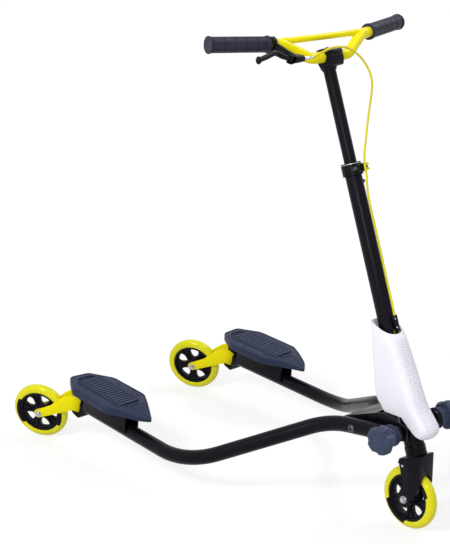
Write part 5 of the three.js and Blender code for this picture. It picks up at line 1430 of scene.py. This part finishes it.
def make_decks():
    ribs = deck_ribs()
    dots = deck_dots()
    for side in SIDES:
        other = side == "right"
        body = "swing_arm_" + side
        solid = deck_body()
        piece("deck_moulding_" + side, solid, DECK, "deck_plastic", body, "deck_" + side,
              mirrored=other, bend=nose_bend, smooth=30)
        piece("deck_field_" + side, deck_panel(), DECK, "deck_plastic", body, mirrored=other,
              bend=nose_bend, smooth=30)
        # The ribs and studs are coloured lighter than the deck they are moulded in: a painted highlight on
        # their tops.
        piece("deck_ribs_" + side, ribs, DECK, "knob_plastic", body, mirrored=other, bend=nose_bend)
        piece("deck_studs_" + side, dots, DECK, "knob_plastic", body, mirrored=other, bend=nose_bend,
              smooth=60)
        place = MIRROR @ DECK @ FLIP if other else DECK
        bracket = smooth_copy("deck_channel_" + side, "deck_bracket_" + side, place, 0.8)
        piece(bracket.name, bracket, place, "black_paint", body, "deck_bracket_" + side, smooth=32)


make_decks()

# Shroud: a ribbed front band on a shell that opens at its foot and its slanting mouth
SHROUD_HALF = 30
SHROUD_WALL = 2.5
SHROUD_BEHIND = 114
SHROUD_LENGTH = 176
SHROUD_HEIGHT = 237
SHROUD_BOTTOM = 49.2
RIDGE_PITCH = 4.6
RIDGE_DEPTH = 1.9
RIDGE_MARGIN_TOP = 2.6
RIDGE_MARGIN_FOOT = 6.5
ROWS_PER_RIDGE = 6
LIP_ROWS = (2, 3, 4, 5)
LIP_OPENING = 26.9
SHROUD_REAR_SHARES = [
    (0, 1), (0.023, 0.903), (0.063, 0.616), (0.115, 0.338), (0.149, 0.266), (0.213, 0.215),
]
SHROUD_FOOT_SHARES = [(0.322, 0.169), (0.586, 0.169), (0.747, 0.068), (0.902, 0)]
SHROUD_FRONT_SHARES = [
    (0.943, 0.008), (0.989, 0.046), (1, 0.093), (0.816, 0.27), (0.615, 0.57), (0.47, 0.78),
    (0.41, 0.855), (0.35, 0.9),
]
SHROUD_NOSE_RADIUS = 28.5
SHROUD_BACK_RADIUS = 12


def shroud_places(shares):
    return from_shares(shares, SHROUD_LENGTH, SHROUD_HEIGHT, -SHROUD_BEHIND, SHROUD_BOTTOM)


def evenly(points, count):
    """That many points at equal steps along a line, with its whole length."""
    points = [Vector((x, 0, z)) for x, z in points]
    lengths = [0.0]
    for a, b in zip(points, points[1:]):
        lengths.append(lengths[-1] + (b - a).length)
    result = []
    k = 0
    for i in range(count):
        at = lengths[-1] * i / (count - 1)
        while k < len(points) - 2 and lengths[k + 1] < at:
            k += 1
        share = (at - lengths[k]) / max(lengths[k + 1] - lengths[k], 1e-9)
        result.append(points[k].lerp(points[k + 1], min(max(share, 0), 1)))
    return result, lengths[-1]


def shroud_section(length, half, front_radius, rear_radius):
    """A rounded oblong from the rear point, at 0, to the front one, at its length."""
    front_radius = min(front_radius, length * 0.62)
    rear_radius = min(rear_radius, length * 0.3)
    corners = [(0, -half), (length, -half), (length, half), (0, half)]
    section = []
    for (u, y), radius, start in zip(corners, (rear_radius, front_radius, front_radius, rear_radius),
                                     (180, 270, 0, 90)):
        centre_u = u + (radius if u == 0 else -radius)
        centre_y = y + (radius if y < 0 else -radius)
        section += arc(centre_u, centre_y, radius, start, start + 90, 12)
        if start == 270:
            section.append((length, 0))
    return section


def shroud_shell(rows, wall, ridged):
    """Rings of points down the shell, its wall drawn in by a distance."""
    rear, _ = evenly(shroud_rear_line(), rows)
    front, length = evenly(shroud_front_line(), rows)
    rings = []
    for k in range(rows):
        along = front[k] - rear[k]
        reach = along.length - 2 * wall
        along.normalize()
        start = rear[k] + along * wall
        section = shroud_section(reach, SHROUD_HALF - wall, SHROUD_NOSE_RADIUS - wall,
                                 SHROUD_BACK_RADIUS - wall)
        travelled = length * k / (rows - 1)
        wave = 0.5 - 0.5 * math.cos(TAU * travelled / RIDGE_PITCH)
        margin = RIDGE_MARGIN_TOP + (RIDGE_MARGIN_FOOT - RIDGE_MARGIN_TOP) * k / (rows - 1)
        ring_points = []
        for u, y in section:
            nearness = min(max((u - reach + margin) / 1.6, 0), 1)
            sink = RIDGE_DEPTH * wave ** 2 * nearness if ridged else 0
            place = start + along * (u - sink)
            ring_points.append((place.x, y * (1 - 0.35 * sink / (SHROUD_HALF - wall)), place.z))
        rings.append(ring_points)
    return rings


def shroud_rear_line():
    points = shroud_places(SHROUD_REAR_SHARES)
    foot = points[-1]
    past_foot = [(foot[0] + 13, foot[1] - 20), (foot[0] + 26, foot[1] - 46)]
    return [*curved(points), *past_foot]


def shroud_front_line():
    points = shroud_places(SHROUD_FRONT_SHARES)[::-1]
    toe = shroud_places([SHROUD_FOOT_SHARES[-1]])[0]
    return [*curved(points), (toe[0], toe[1] - 4)]


def curved(points):
    """The line through points, rounded."""
    route = smooth_route([(x, 0, z) for x, z in points], 7)
    return [(p.x, p.z) for p in route]


def make_shroud():
    """The ribbed shell, cut open at its foot, with a lip inside its mouth round the column."""
    _, length = evenly(shroud_front_line(), 2)
    rows = ROWS_PER_RIDGE * round(length / RIDGE_PITCH) + 1
    outer = shroud_shell(rows, 0, True)
    inner = shroud_shell(rows, SHROUD_WALL, False)
    obj = raw_object("shroud_moulding", looped(outer + inner[::-1]))
    lip = raw_object("shroud_mouth_lip", stacked([inner[row] for row in LIP_ROWS]))
    opening = moved(upright(disc(LIP_OPENING, 150, 600)), HEAD.inverted() @ STEERING)
    carve(lip, opening)
    piece(lip.name, lip, HEAD, "white_plastic", "chassis", smooth=50)
    foot = shroud_places([SHROUD_REAR_SHARES[-1], *SHROUD_FOOT_SHARES, SHROUD_FRONT_SHARES[0]])
    below = [(-160, foot[0][1]), *foot, (100, foot[-1][1]), (100, -60), (-160, -60)]
    carve(obj, extruded(below, -60, 60))
    piece(obj.name, obj, HEAD, "white_plastic", "chassis", "shroud", smooth=34)


make_shroud()

# Column, clamp and cable guide
BUTTON_RISE = COLUMN_TOP - 49
BUTTON_TURN = 60
BUTTON = shifted(0, 0, BUTTON_RISE) @ turned(BUTTON_TURN, "Z") @ turned(90, "Y")
WINDOW_LOW = 262
WINDOW_HIGH = 306
GUIDE_REACH = 26.4


def make_column():
    lower = ring(COLUMN_RADIUS, UPPER_RADIUS + GAP, COLUMN_BOTTOM, TUBE_END, 0.8, 96)
    obj = raw_object("lower_column_tube", upright(lower))
    carve(obj, block((0, -4, WINDOW_LOW), (THROUGH, 9, WINDOW_HIGH)))
    bore = upright(disc(4.3, 5, THROUGH))
    carve(obj, moved(bore, BUTTON))
    piece(obj.name, obj, STEERING, "black_paint", "steering", "lower_column", smooth=30)
    upper = ring(UPPER_RADIUS, UPPER_RADIUS - 2.4, COLUMN_TOP - 88, COLUMN_TOP + 207, 0.5, 96)
    piece("upper_column_tube", upright(upper), STEERING, "black_paint", "bars", "upper_column")
    cap = upright(disc(4, COLUMN_RADIUS - 1.75, COLUMN_RADIUS + 3.8, 1.3, 40))
    piece("snap_button_cap", moved(cap, BUTTON), STEERING, "dark_steel", "height_button", "snap_button")


def make_collar():
    """The split collar with its lug, and the bright line in its groove."""
    inner = COLUMN_RADIUS + GAP
    outer = inner + 4
    neck = UPPER_RADIUS + GAP
    profile = fillet([
        (inner, COLLAR_BOTTOM), (outer, COLLAR_BOTTOM), (outer, COLLAR_TOP - 4.4),
        (outer - 1.4, COLLAR_TOP - 3.8), (outer - 1.4, COLLAR_TOP - 1.9), (outer, COLLAR_TOP - 1.4),
        (outer, COLLAR_TOP), (neck, COLLAR_TOP), (neck, TUBE_END + GAP), (inner, TUBE_END + GAP),
    ], 0.6, 3)
    obj = raw_object("clamp_collar_casting", upright(lathe(profile, 96)))
    lug = fillet([(19, -9.5), (26, -9.5), (28.4, -6.5), (28.4, 6.5), (26, 9.5), (19, 9.5)], 3, 5)
    lug = [(x, z + SKEWER_RISE) for x, z in lug]
    carve(obj, extruded(lug, -13, 13), "UNION")
    carve(obj, block((10, -1.5, COLLAR_BOTTOM - 5), (THROUGH, 1.5, COLLAR_TOP + 5)))
    carve(obj, across_rod(2.8, -THROUGH, THROUGH, SKEWER_AHEAD, SKEWER_RISE))
    soften(obj, 0.7, 2, 40)
    piece(obj.name, obj, STEERING, "black_paint", "steering", "clamp_collar", smooth=32)
    line = upright(ring(outer - 0.1, outer - 1.9, COLLAR_TOP - 3.7, COLLAR_TOP - 2, 0.3, 96))
    piece("clamp_collar_line", line, STEERING, "steel", "steering")


def make_skewer():
    place = STEERING @ shifted(SKEWER_AHEAD, 0, SKEWER_RISE)
    nut = lathe(fillet_open([(0, -17.4), (4.6, -17.4), (5, -16.6), (5, -13.3), (0, -13.3)], 0.4, 3)
                + [(0, -13.3), (0, -17.4)], 48)
    face = ring(4.3, 3.1, -17.75, -17.2, 0.15, 40)
    shaft = disc(2.5, -15, 18.4, 0.3, 32)
    obj = raw_object("eye", upright(disc(4.2, -2.5, 2.5, 0.5, 40)))
    carve(obj, upright(disc(2.1, -20, 20)))
    eye = moved(taken(obj), shifted(0, LEVER_PIN_OUT, 0))
    piece("clamp_skewer", together(nut, face, shaft, eye), place, "dark_steel", "steering", "clamp_bolt")
    cheeks = [upright(disc(7, low, high, 0.8, 48)) for low, high in ((2.9, 8), (-8, -2.9))]
    half = 2.5
    blade = fillet([
        (0, -half), (-14, 5), (-44, 5), (-58, -6.5), (-58, -1.5), (-44, 10), (-14, 10), (0, half),
    ], [2, 14, 14, 2.4, 2.4, 14, 14, 2], 8)
    obj = raw_object("blade", extruded(blade, -7.7, 7.7, "z"))
    carve(obj, block((-4.5, -20, -2.8), (60, 60, 2.8)))
    soften(obj, 1.1, 3, 40)
    pin = upright(disc(1.8, -8.3, 8.3, 0.3, 24))
    solid = together(*cheeks, taken(obj), pin)
    piece("clamp_lever_casting", solid, CLAMP, "yellow_paint", "clamp_handle", "clamp_lever", smooth=34)


CABLE_ROUTE = [
    (31.6, -85, 889.6), (35.5, -72, 891), (44, -48, 898), (49, -30, 902), (50, -11, 902),
    (50, 10, 900), (50, 30, 891), (50, 48, 877), (50, 60, 861), (50, 68, 843),
    (50, 70, 828), (50, 68, 812), (50, 61, 795), (49, 53, 778), (45, 36, 739),
    (41, 24, 706), (37.5, 15, 680), (34.6, 11, 665), (32.8, 9, 650), (32.2, 8, 637),
    (31, 8, 622), (27.5, 8, 606), (23.8, 8, 588), (21.9, 8, 569), (21.9, 8, 540),
    (21.9, 8, 506), (21.9, 8, 470), (21.8, 7.5, 430), (21.7, 7, 390), (21.8, 7, 355),
    (22, 6.5, 335), (22, 6, 318), (21.2, 5.5, 306), (18.5, 5, 293), (14.5, 4, 280),
    (9.5, 2.6, 266), (5, 1.2, 250), (2, 0.4, 228), (0.5, 0, 205), (0, 0, 180),
    (0, 0, 140), (0, 0, 90), (0, 0, 40), (0, 0, 10), (0.4, 0, -6),
    (1, 0, -13),
]


def make_cable():
    route = smooth_route(CABLE_ROUTE, 8)
    sheath = swept(route, CABLE_RADIUS, 20)
    start = Vector(CABLE_ROUTE[0])
    ahead = (Vector(CABLE_ROUTE[1]) - start).normalized()
    ferrule = swept([start + ahead * d for d in (0.1, 0.5, 8.5, 9.2)], [2.7, 3.1, 3.1, 2.7], 24)
    cable = piece("brake_cable_sheath", sheath, STEERING, "cable_sheath", None, "brake_cable")
    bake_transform(cable)
    piece("cable_ferrule", ferrule, STEERING, "steel", "bars")


def make_cable_guide():
    """The clip that leads the cable into the column, small enough to turn inside the shroud."""
    bottom = 277
    top = bottom + 35
    ahead = COLUMN_RADIUS + 7.1
    outline = fillet([(bottom, 10), (bottom, ahead), (top, ahead), (top, 10)], [1, 5, 5, 1], 6)
    side = [(x, z) for z, x in outline]
    obj = raw_object("cable_guide_clip", extruded(side, -2.5, 12.5))
    carve(obj, upright(disc(GUIDE_REACH, 200, 400)), "INTERSECT")
    carve(obj, upright(disc(COLUMN_RADIUS + GAP, 200, 400, 0.6, 96)))
    in_guide = CABLE_ROUTE[28:38]
    carve(obj, swept(smooth_route(in_guide, 8), 3.1, 20))
    soften(obj, 0.7, 2, 32)
    head = disc(1.9, -0.6, 0.55, 0.3, 28)
    lower = moved(head, shifted(COLUMN_RADIUS + 6.8, 1.6, bottom + 8) @ turned(-90, "Z"))
    upper = moved(lower, shifted(0, 0, 19))
    piece(obj.name, obj, STEERING, "black_plastic", "steering", "cable_guide", smooth=34)
    piece("cable_guide_rivets", together(lower, upper), STEERING, "steel", "steering")


make_column()
make_collar()
make_skewer()
make_cable()
make_cable_guide()

# Stem, bars and grips
LOWER_BEND = Vector((0, 58, 0))
GRIP_START = Vector((-18, 156, 45))
GRIP_END = Vector((-48, 296, 64))
GRIP_ALONG = (GRIP_END - GRIP_START).normalized()
GRIP_LENGTH = (GRIP_END - GRIP_START).length
UPPER_BEND = GRIP_START + GRIP_ALONG * ((124 - GRIP_START.y) / GRIP_ALONG.y)
CROSSBAR_RISE = 46
STEM_HALF_LENGTH = 17.5
STEM_HALF_WIDTH = 24.5
STEM_SHOULDER = 10.2
STEM_FLAT = 12.3
STEM_BOLT_PLACES = [(x, y) for x in (-11.6, 11.6) for y in (-14.8, 14.8)]


def bar_path():
    left = [LOWER_BEND, UPPER_BEND, GRIP_END - GRIP_ALONG * 3.3]
    right = [Vector((p.x, -p.y, p.z)) for p in left[::-1]]
    return bent_path(right + left, [42] * 4, 14)


def on_grip(start=0.0):
    """Turns what is drawn about Y to lie along the left grip, from a place on it."""
    turn = ACROSS.rotation_difference(GRIP_ALONG).to_matrix().to_4x4()
    return Matrix.Translation(GRIP_START + GRIP_ALONG * start) @ turn


def make_bars():
    piece("handlebar_tube", swept(bar_path(), BAR_RADIUS, 56), BAR, "yellow_paint", "bars", "handlebar")
    rod = disc(7, -116, 116, 0.3, 48)
    solids = [moved(rod, shifted(UPPER_BEND.x, 0, CROSSBAR_RISE))]
    for sign in (-1, 1):
        centre = Vector((UPPER_BEND.x, sign * 113.2, CROSSBAR_RISE))
        solids.append(bead_round(centre, ACROSS, 7.2, 1.3, 26))
    piece("crossbar_tube", together(*solids), BAR, "yellow_paint", "bars", "crossbar")


def stem_block(name, profile):
    """A stem forging of a profile across the bar, bored for the bar."""
    obj = raw_object(name, extruded(profile, -STEM_HALF_WIDTH, STEM_HALF_WIDTH))
    carve(obj, across_rod(BAR_RADIUS + GAP, -THROUGH, THROUGH, 0, 0, 64))
    return obj


def make_stem_cap():
    """The cap over the bar, with a slot and four sunk seats, and its bolts."""
    profile = fillet([
        (-STEM_HALF_LENGTH, GAP), (STEM_HALF_LENGTH, GAP), (STEM_HALF_LENGTH, STEM_SHOULDER),
        (STEM_FLAT, 17), (-STEM_FLAT, 17), (-STEM_HALF_LENGTH, STEM_SHOULDER),
    ], [1, 1, 4, 5, 5, 4], 6)
    obj = stem_block("stem_cap_forging", profile)
    carve(obj, block((-40, -5.2, 12.6), (40, 5.2, 30)))
    for x, y in STEM_BOLT_PLACES:
        carve(obj, moved(upright(disc(3.9, 12.2, 40, 0.3, 36)), shifted(x, y)))
    soften(obj, 1.2, 3, 34)
    piece(obj.name, obj, BAR, "black_paint", "bars", "stem_cap", smooth=34)
    bolts = []
    for x, y in STEM_BOLT_PLACES:
        head = raw_object("bolt", disc(3.7, 11.6, 18.6, 0.6, 40))
        carve(head, hexagon(1.9, 15.6, 22))
        bolts.append(moved(upright(taken(head)), shifted(x, y)))
    piece("stem_bolts", together(*bolts), BAR, "dark_steel", "bars")


def make_stem_saddle():
    """The saddle under the bar, with the flare that is welded to the upper column."""
    bottom = -22.7
    profile = fillet([
        (-STEM_HALF_LENGTH, -GAP), (-STEM_HALF_LENGTH, -STEM_SHOULDER), (-STEM_FLAT, bottom),
        (STEM_FLAT, bottom), (STEM_HALF_LENGTH, -STEM_SHOULDER), (STEM_HALF_LENGTH, -GAP),
    ], [1, 6, 4, 4, 6, 1], 6)
    obj = stem_block("stem_saddle_forging", profile)
    soften(obj, 1.6, 3, 34)
    flare = fillet([
        (14.3, bottom - 7), (15.4, bottom - 7), (18.6, bottom + 1), (18.6, bottom + 5), (14.3, bottom + 5),
    ], [0.5, 0.5, 4, 1, 1], 5)
    flare = moved(upright(lathe(flare, 72)), shifted(-BAR_FORWARD))
    bead = moved(upright(lathe(weld_ring(18.2, 1.5), 72)), shifted(-BAR_FORWARD, 0, bottom + 0.2))
    piece(obj.name, together(taken(obj), flare, bead), BAR, "black_paint", "bars", "stem_saddle", smooth=34)


BLOCK_ROWS = 8
BLOCK_COLUMNS = 5
BLOCK_GROOVE = 1.3
GROOVE_DEPTH = 1.1


def grip_solid():
    """A grip with two ringed flanges and raised blocks between them."""
    flange = 5.2
    body_from = flange + 1.6
    body_to = GRIP_LENGTH - flange - 1.6
    pitch = (body_to - body_from) / BLOCK_COLUMNS
    end = GRIP_LENGTH
    inner_flange = [
        (0, 12.6), (0, 17.6), (0.6, GRIP_FLANGE), (1.9, GRIP_FLANGE), (2.3, GRIP_FLANGE - 0.5),
        (2.8, GRIP_FLANGE), (4.2, GRIP_FLANGE), (flange, GRIP_RADIUS - 0.2),
        (body_from - 0.6, GRIP_RADIUS - 0.9),
    ]
    outer_flange = [
        (body_to + 0.6, GRIP_RADIUS - 0.9), (end - flange, GRIP_RADIUS - 0.2), (end - 4.2, GRIP_FLANGE),
        (end - 2.8, GRIP_FLANGE), (end - 2.3, GRIP_FLANGE - 0.5), (end - 1.9, GRIP_FLANGE),
        (end - 0.7, GRIP_FLANGE - 0.2), (end - 0.1, GRIP_RADIUS), (end, GRIP_RADIUS - 2), (end - 0.6, 6),
    ]
    sunk = GRIP_RADIUS - GROOVE_DEPTH
    blocks = []
    for k in range(BLOCK_COLUMNS):
        start = body_from + k * pitch
        stop = start + pitch - BLOCK_GROOVE
        blocks += [(start, sunk, sunk), (start + 0.35, GRIP_RADIUS, sunk),
                   (stop - 0.35, GRIP_RADIUS, sunk), (stop, sunk, sunk)]
    # Each station has its place, its radius on the blocks and its radius between them.
    stations = [
        *[(at, radius, radius) for at, radius in inner_flange], *blocks,
        *[(at, radius, radius) for at, radius in outer_flange],
    ]
    angles = []
    sector = TAU / BLOCK_ROWS
    groove = BLOCK_GROOVE / GRIP_RADIUS
    for k in range(BLOCK_ROWS):
        start = k * sector
        angles += [(start, False), (start + 0.02, True)]
        angles += [(start + (sector - groove) * i / 6, True) for i in range(1, 6)]
        angles += [(start + sector - groove - 0.02, True), (start + sector - groove, False),
                   (start + sector - groove / 2, False)]
    rings = []
    for at, on_block, between in stations:
        row = []
        for angle, raised in angles:
            radius = on_block if raised else between
            row.append((radius * math.cos(angle), at, radius * math.sin(angle)))
        rings.append(row)
    return stacked(rings)


def make_grips():
    solid = moved(grip_solid(), on_grip())
    for side in SIDES:
        piece("grip_sleeve_" + side, solid, BAR, "grip_rubber", "bars", "grip_" + side,
              mirrored=side == "right", smooth=26)


make_bars()
make_stem_cap()
make_stem_saddle()
make_grips()

# Brake lever: drawn on the left and mirrored to the right grip
LEVER_PIVOT = Vector((18, 135, 3))
HOUSING_START = Vector((18, 128, 3))
HOUSING_END = Vector((20, 101, 0.5))
BLADE_KNEE = Vector((20, 178, 19))
BLADE_TIP = Vector((25, 233, 8))
BLADE_SWEEP = (0, 8, 17, 25)
BAND_INWARD = 9
BAND_BORE = 12.6


def lever_axis():
    """The lever's pivot axis, and the way in which it is squeezed."""
    middle = (BLADE_KNEE + BLADE_TIP) / 2
    squeeze = (GRIP_START + GRIP_END) / 2 - middle
    squeeze.y = 0
    squeeze.normalize()
    return (BLADE_TIP - LEVER_PIVOT).normalized().cross(squeeze).normalized(), squeeze


def make_lever_housing(axis, squeeze, about):
    """The clamp band on the bar and the housing, cut clear of the blade all through its sweep."""
    band_place = on_grip(-BAND_INWARD)
    band = moved(ring(16.6, BAND_BORE, -6, 6, 1.4, 64), band_place)
    along = [HOUSING_START.lerp(HOUSING_END, share) for share in (0, 0.35, 0.8, 1)]
    obj = raw_object("lever_housing", swept(along, [11.4, 10.6, 8.6, 7.6], 40, 0.9, axis))
    neck_from = GRIP_START - GRIP_ALONG * BAND_INWARD - squeeze * 14.6
    neck = [neck_from, neck_from.lerp(HOUSING_START, 0.5), HOUSING_START]
    carve(obj, swept(neck, [9, 9, 10.5], 36), "UNION")
    carve(obj, moved(disc(8, -9.6, 9.6, 1.2, 48), about), "UNION")
    carve(obj, moved(disc(9.3, -6.6, 6.6, 0.3, 64), about))
    for turn in BLADE_SWEEP:
        blade = swept([ORIGIN, BLADE_KNEE - LEVER_PIVOT], [6.4, 7], 24)
        path = Matrix.Translation(LEVER_PIVOT) @ Matrix.Rotation(math.radians(turn), 4, axis)
        carve(obj, moved(blade, path))
    carve(obj, moved(across_rod(BAND_BORE, -30, 30), band_place))
    soften(obj, 0.5, 2, 40)
    piece("lever_housing", together(taken(obj), band), BAR, "black_plastic", "bars", "lever_body",
          mirrored=True, smooth=36)


def make_lever_blade(about):
    knee = BLADE_KNEE - LEVER_PIVOT
    tip = BLADE_TIP - LEVER_PIVOT
    route = smooth_route([ORIGIN, knee * 0.5 + Vector((0, 0, -1)), knee, (knee + tip) / 2, tip], 8)
    last = len(route) - 1
    blade = swept(route, [5.4 + 0.7 * math.sin(math.pi * k / last) for k in range(len(route))], 32)
    ball = moved(upright(lathe(arc(0, 0, 6.4, -90, 90, 20), 40)), Matrix.Scale(1.35, 4, UP))
    ball = moved(ball, Matrix.Translation(tip) @ turned(20, "X"))
    hub = moved(disc(6, -6, 6, 0.5, 40), about)
    pin = moved(disc(2.5, -9, 9, 0.3, 24), about)
    at_pivot = Matrix.Translation(LEVER_PIVOT)
    solid = together(moved(blade, at_pivot), moved(ball, at_pivot), hub, pin)
    piece("brake_lever_blade", solid, BAR, "black_plastic", "hand_brake", "brake_lever",
          mirrored=True, smooth=40)


def make_adjuster():
    """The barrel at the housing's end that the cable runs out of."""
    ahead = (HOUSING_END - HOUSING_START).normalized()
    begin = HOUSING_END + ahead * GAP
    steps = [
        (0, 3.4), (0.4, 4.5), (5.4, 4.5), (5.8, 3.7), (6.6, 3.7), (7, 4.2), (11.4, 4.0), (12, 3.2),
        (15, 3.0),
    ]
    adjuster = swept([begin + ahead * along for along, _ in steps], [radius for _, radius in steps], 28)
    piece("cable_adjuster", adjuster, BAR, "steel", "bars", "barrel_adjuster", mirrored=True, smooth=30)


def make_lever():
    axis, squeeze = lever_axis()
    about = Matrix.Translation(LEVER_PIVOT) @ ACROSS.rotation_difference(axis).to_matrix().to_4x4()
    make_lever_housing(axis, squeeze, about)
    make_lever_blade(about)
    make_adjuster()


make_lever()


# Floor and light
FLOOR_SIZE = 30
FLOOR_COLOUR = (0.9, 0.9, 0.9, 1)
FLOOR_GLOW = 0.6
# Near the object the floor glows less than farther off, so its shadow shows.
FLOOR_NEAR = 1.12
FLOOR_WHITE = 1.37
SHADOW_REACH = 1.0
WHITE_REACH = 2.6
FLOOR_BOUNCE = 0.4
WORLD_LIGHT = 0.55
WHITE = (1, 1, 1, 1)


def seen_ray(tree):
    """One where the camera, a reflection or glass sees the surface, and zero for its light."""
    paths = tree.nodes.new("ShaderNodeLightPath")
    result = paths.outputs["Is Camera Ray"]
    for label in ("Is Glossy Ray", "Is Transmission Ray"):
        either = tree.nodes.new("ShaderNodeMath")
        either.operation = "MAXIMUM"
        tree.links.new(result, either.inputs[0])
        tree.links.new(paths.outputs[label], either.inputs[1])
        result = either.outputs[0]
    return result


def floor_white(tree):
    """How strongly the floor glows where it is seen, by its distance from the object."""
    place = tree.nodes.new("ShaderNodeTexCoord")
    distance = tree.nodes.new("ShaderNodeVectorMath")
    distance.operation = "LENGTH"
    tree.links.new(place.outputs["Object"], distance.inputs[0])
    return spread(tree, distance.outputs["Value"], FLOOR_NEAR, FLOOR_WHITE, SHADOW_REACH, WHITE_REACH)


def make_floor():
    material = bpy.data.materials.new("studio_floor")
    material.use_nodes = True
    tree = material.node_tree
    link = tree.links.new
    principled = tree.nodes["Principled BSDF"]
    principled.inputs["Base Color"].default_value = FLOOR_COLOUR
    principled.inputs["Roughness"].default_value = 0.9
    principled.inputs["Specular IOR Level"].default_value = 0.0
    glow = tree.nodes.new("ShaderNodeEmission")
    glow.inputs["Color"].default_value = WHITE
    link(spread(tree, seen_ray(tree), FLOOR_BOUNCE, floor_white(tree), 0, 1), glow.inputs["Strength"])
    blend = tree.nodes.new("ShaderNodeMixShader")
    blend.inputs["Fac"].default_value = FLOOR_GLOW
    link(principled.outputs["BSDF"], blend.inputs[1])
    link(glow.outputs["Emission"], blend.inputs[2])
    link(blend.outputs["Shader"], tree.nodes["Material Output"].inputs["Surface"])
    size = FLOOR_SIZE
    mesh = bpy.data.meshes.new("studio_floor")
    corners = [(-size, -size, 0), (size, -size, 0), (size, size, 0), (-size, size, 0)]
    mesh.from_pydata(corners, [], [(0, 1, 2, 3)])
    mesh.materials.append(material)
    floor = bpy.data.objects.new("studio_floor", mesh)
    bpy.context.scene.collection.objects.link(floor)


def background(tree, strength):
    node = tree.nodes.new("ShaderNodeBackground")
    node.inputs["Color"].default_value = WHITE
    node.inputs["Strength"].default_value = strength
    return node.outputs[0]


def make_world():
    """A soft light from all round, which is itself seen as white."""
    world = bpy.data.worlds.new("studio")
    world.use_nodes = True
    tree = world.node_tree
    tree.nodes.clear()
    link = tree.links.new
    mix = tree.nodes.new("ShaderNodeMixShader")
    out = tree.nodes.new("ShaderNodeOutputWorld")
    link(seen_ray(tree), mix.inputs["Fac"])
    link(background(tree, WORLD_LIGHT), mix.inputs[1])
    link(background(tree, 1.0), mix.inputs[2])
    link(mix.outputs[0], out.inputs["Surface"])
    bpy.context.scene.world = world


def make_lamp(name, place, target, size, power):
    """A square lamp, in metres and watts, turned to a target."""
    data = bpy.data.lights.new(name, "AREA")
    data.size = size
    data.energy = power
    lamp = bpy.data.objects.new(name, data)
    bpy.context.scene.collection.objects.link(lamp)
    lamp.location = place
    lamp.rotation_euler = (Vector(target) - Vector(place)).to_track_quat("-Z", "Y").to_euler()


make_floor()
make_world()
make_lamp("key", place=(0.4, -2.7, 2.5), target=(0, 0, 0.4), size=0.8, power=62)
make_lamp("front", place=(1.78, -1.84, 1.42), target=(0, 0, 0.85), size=0.5, power=12)
make_lamp("rim", place=(0.3, 2.2, 3.1), target=(0, 0, 0.4), size=0.8, power=30)
bpy.context.scene.view_settings.view_transform = "Standard"
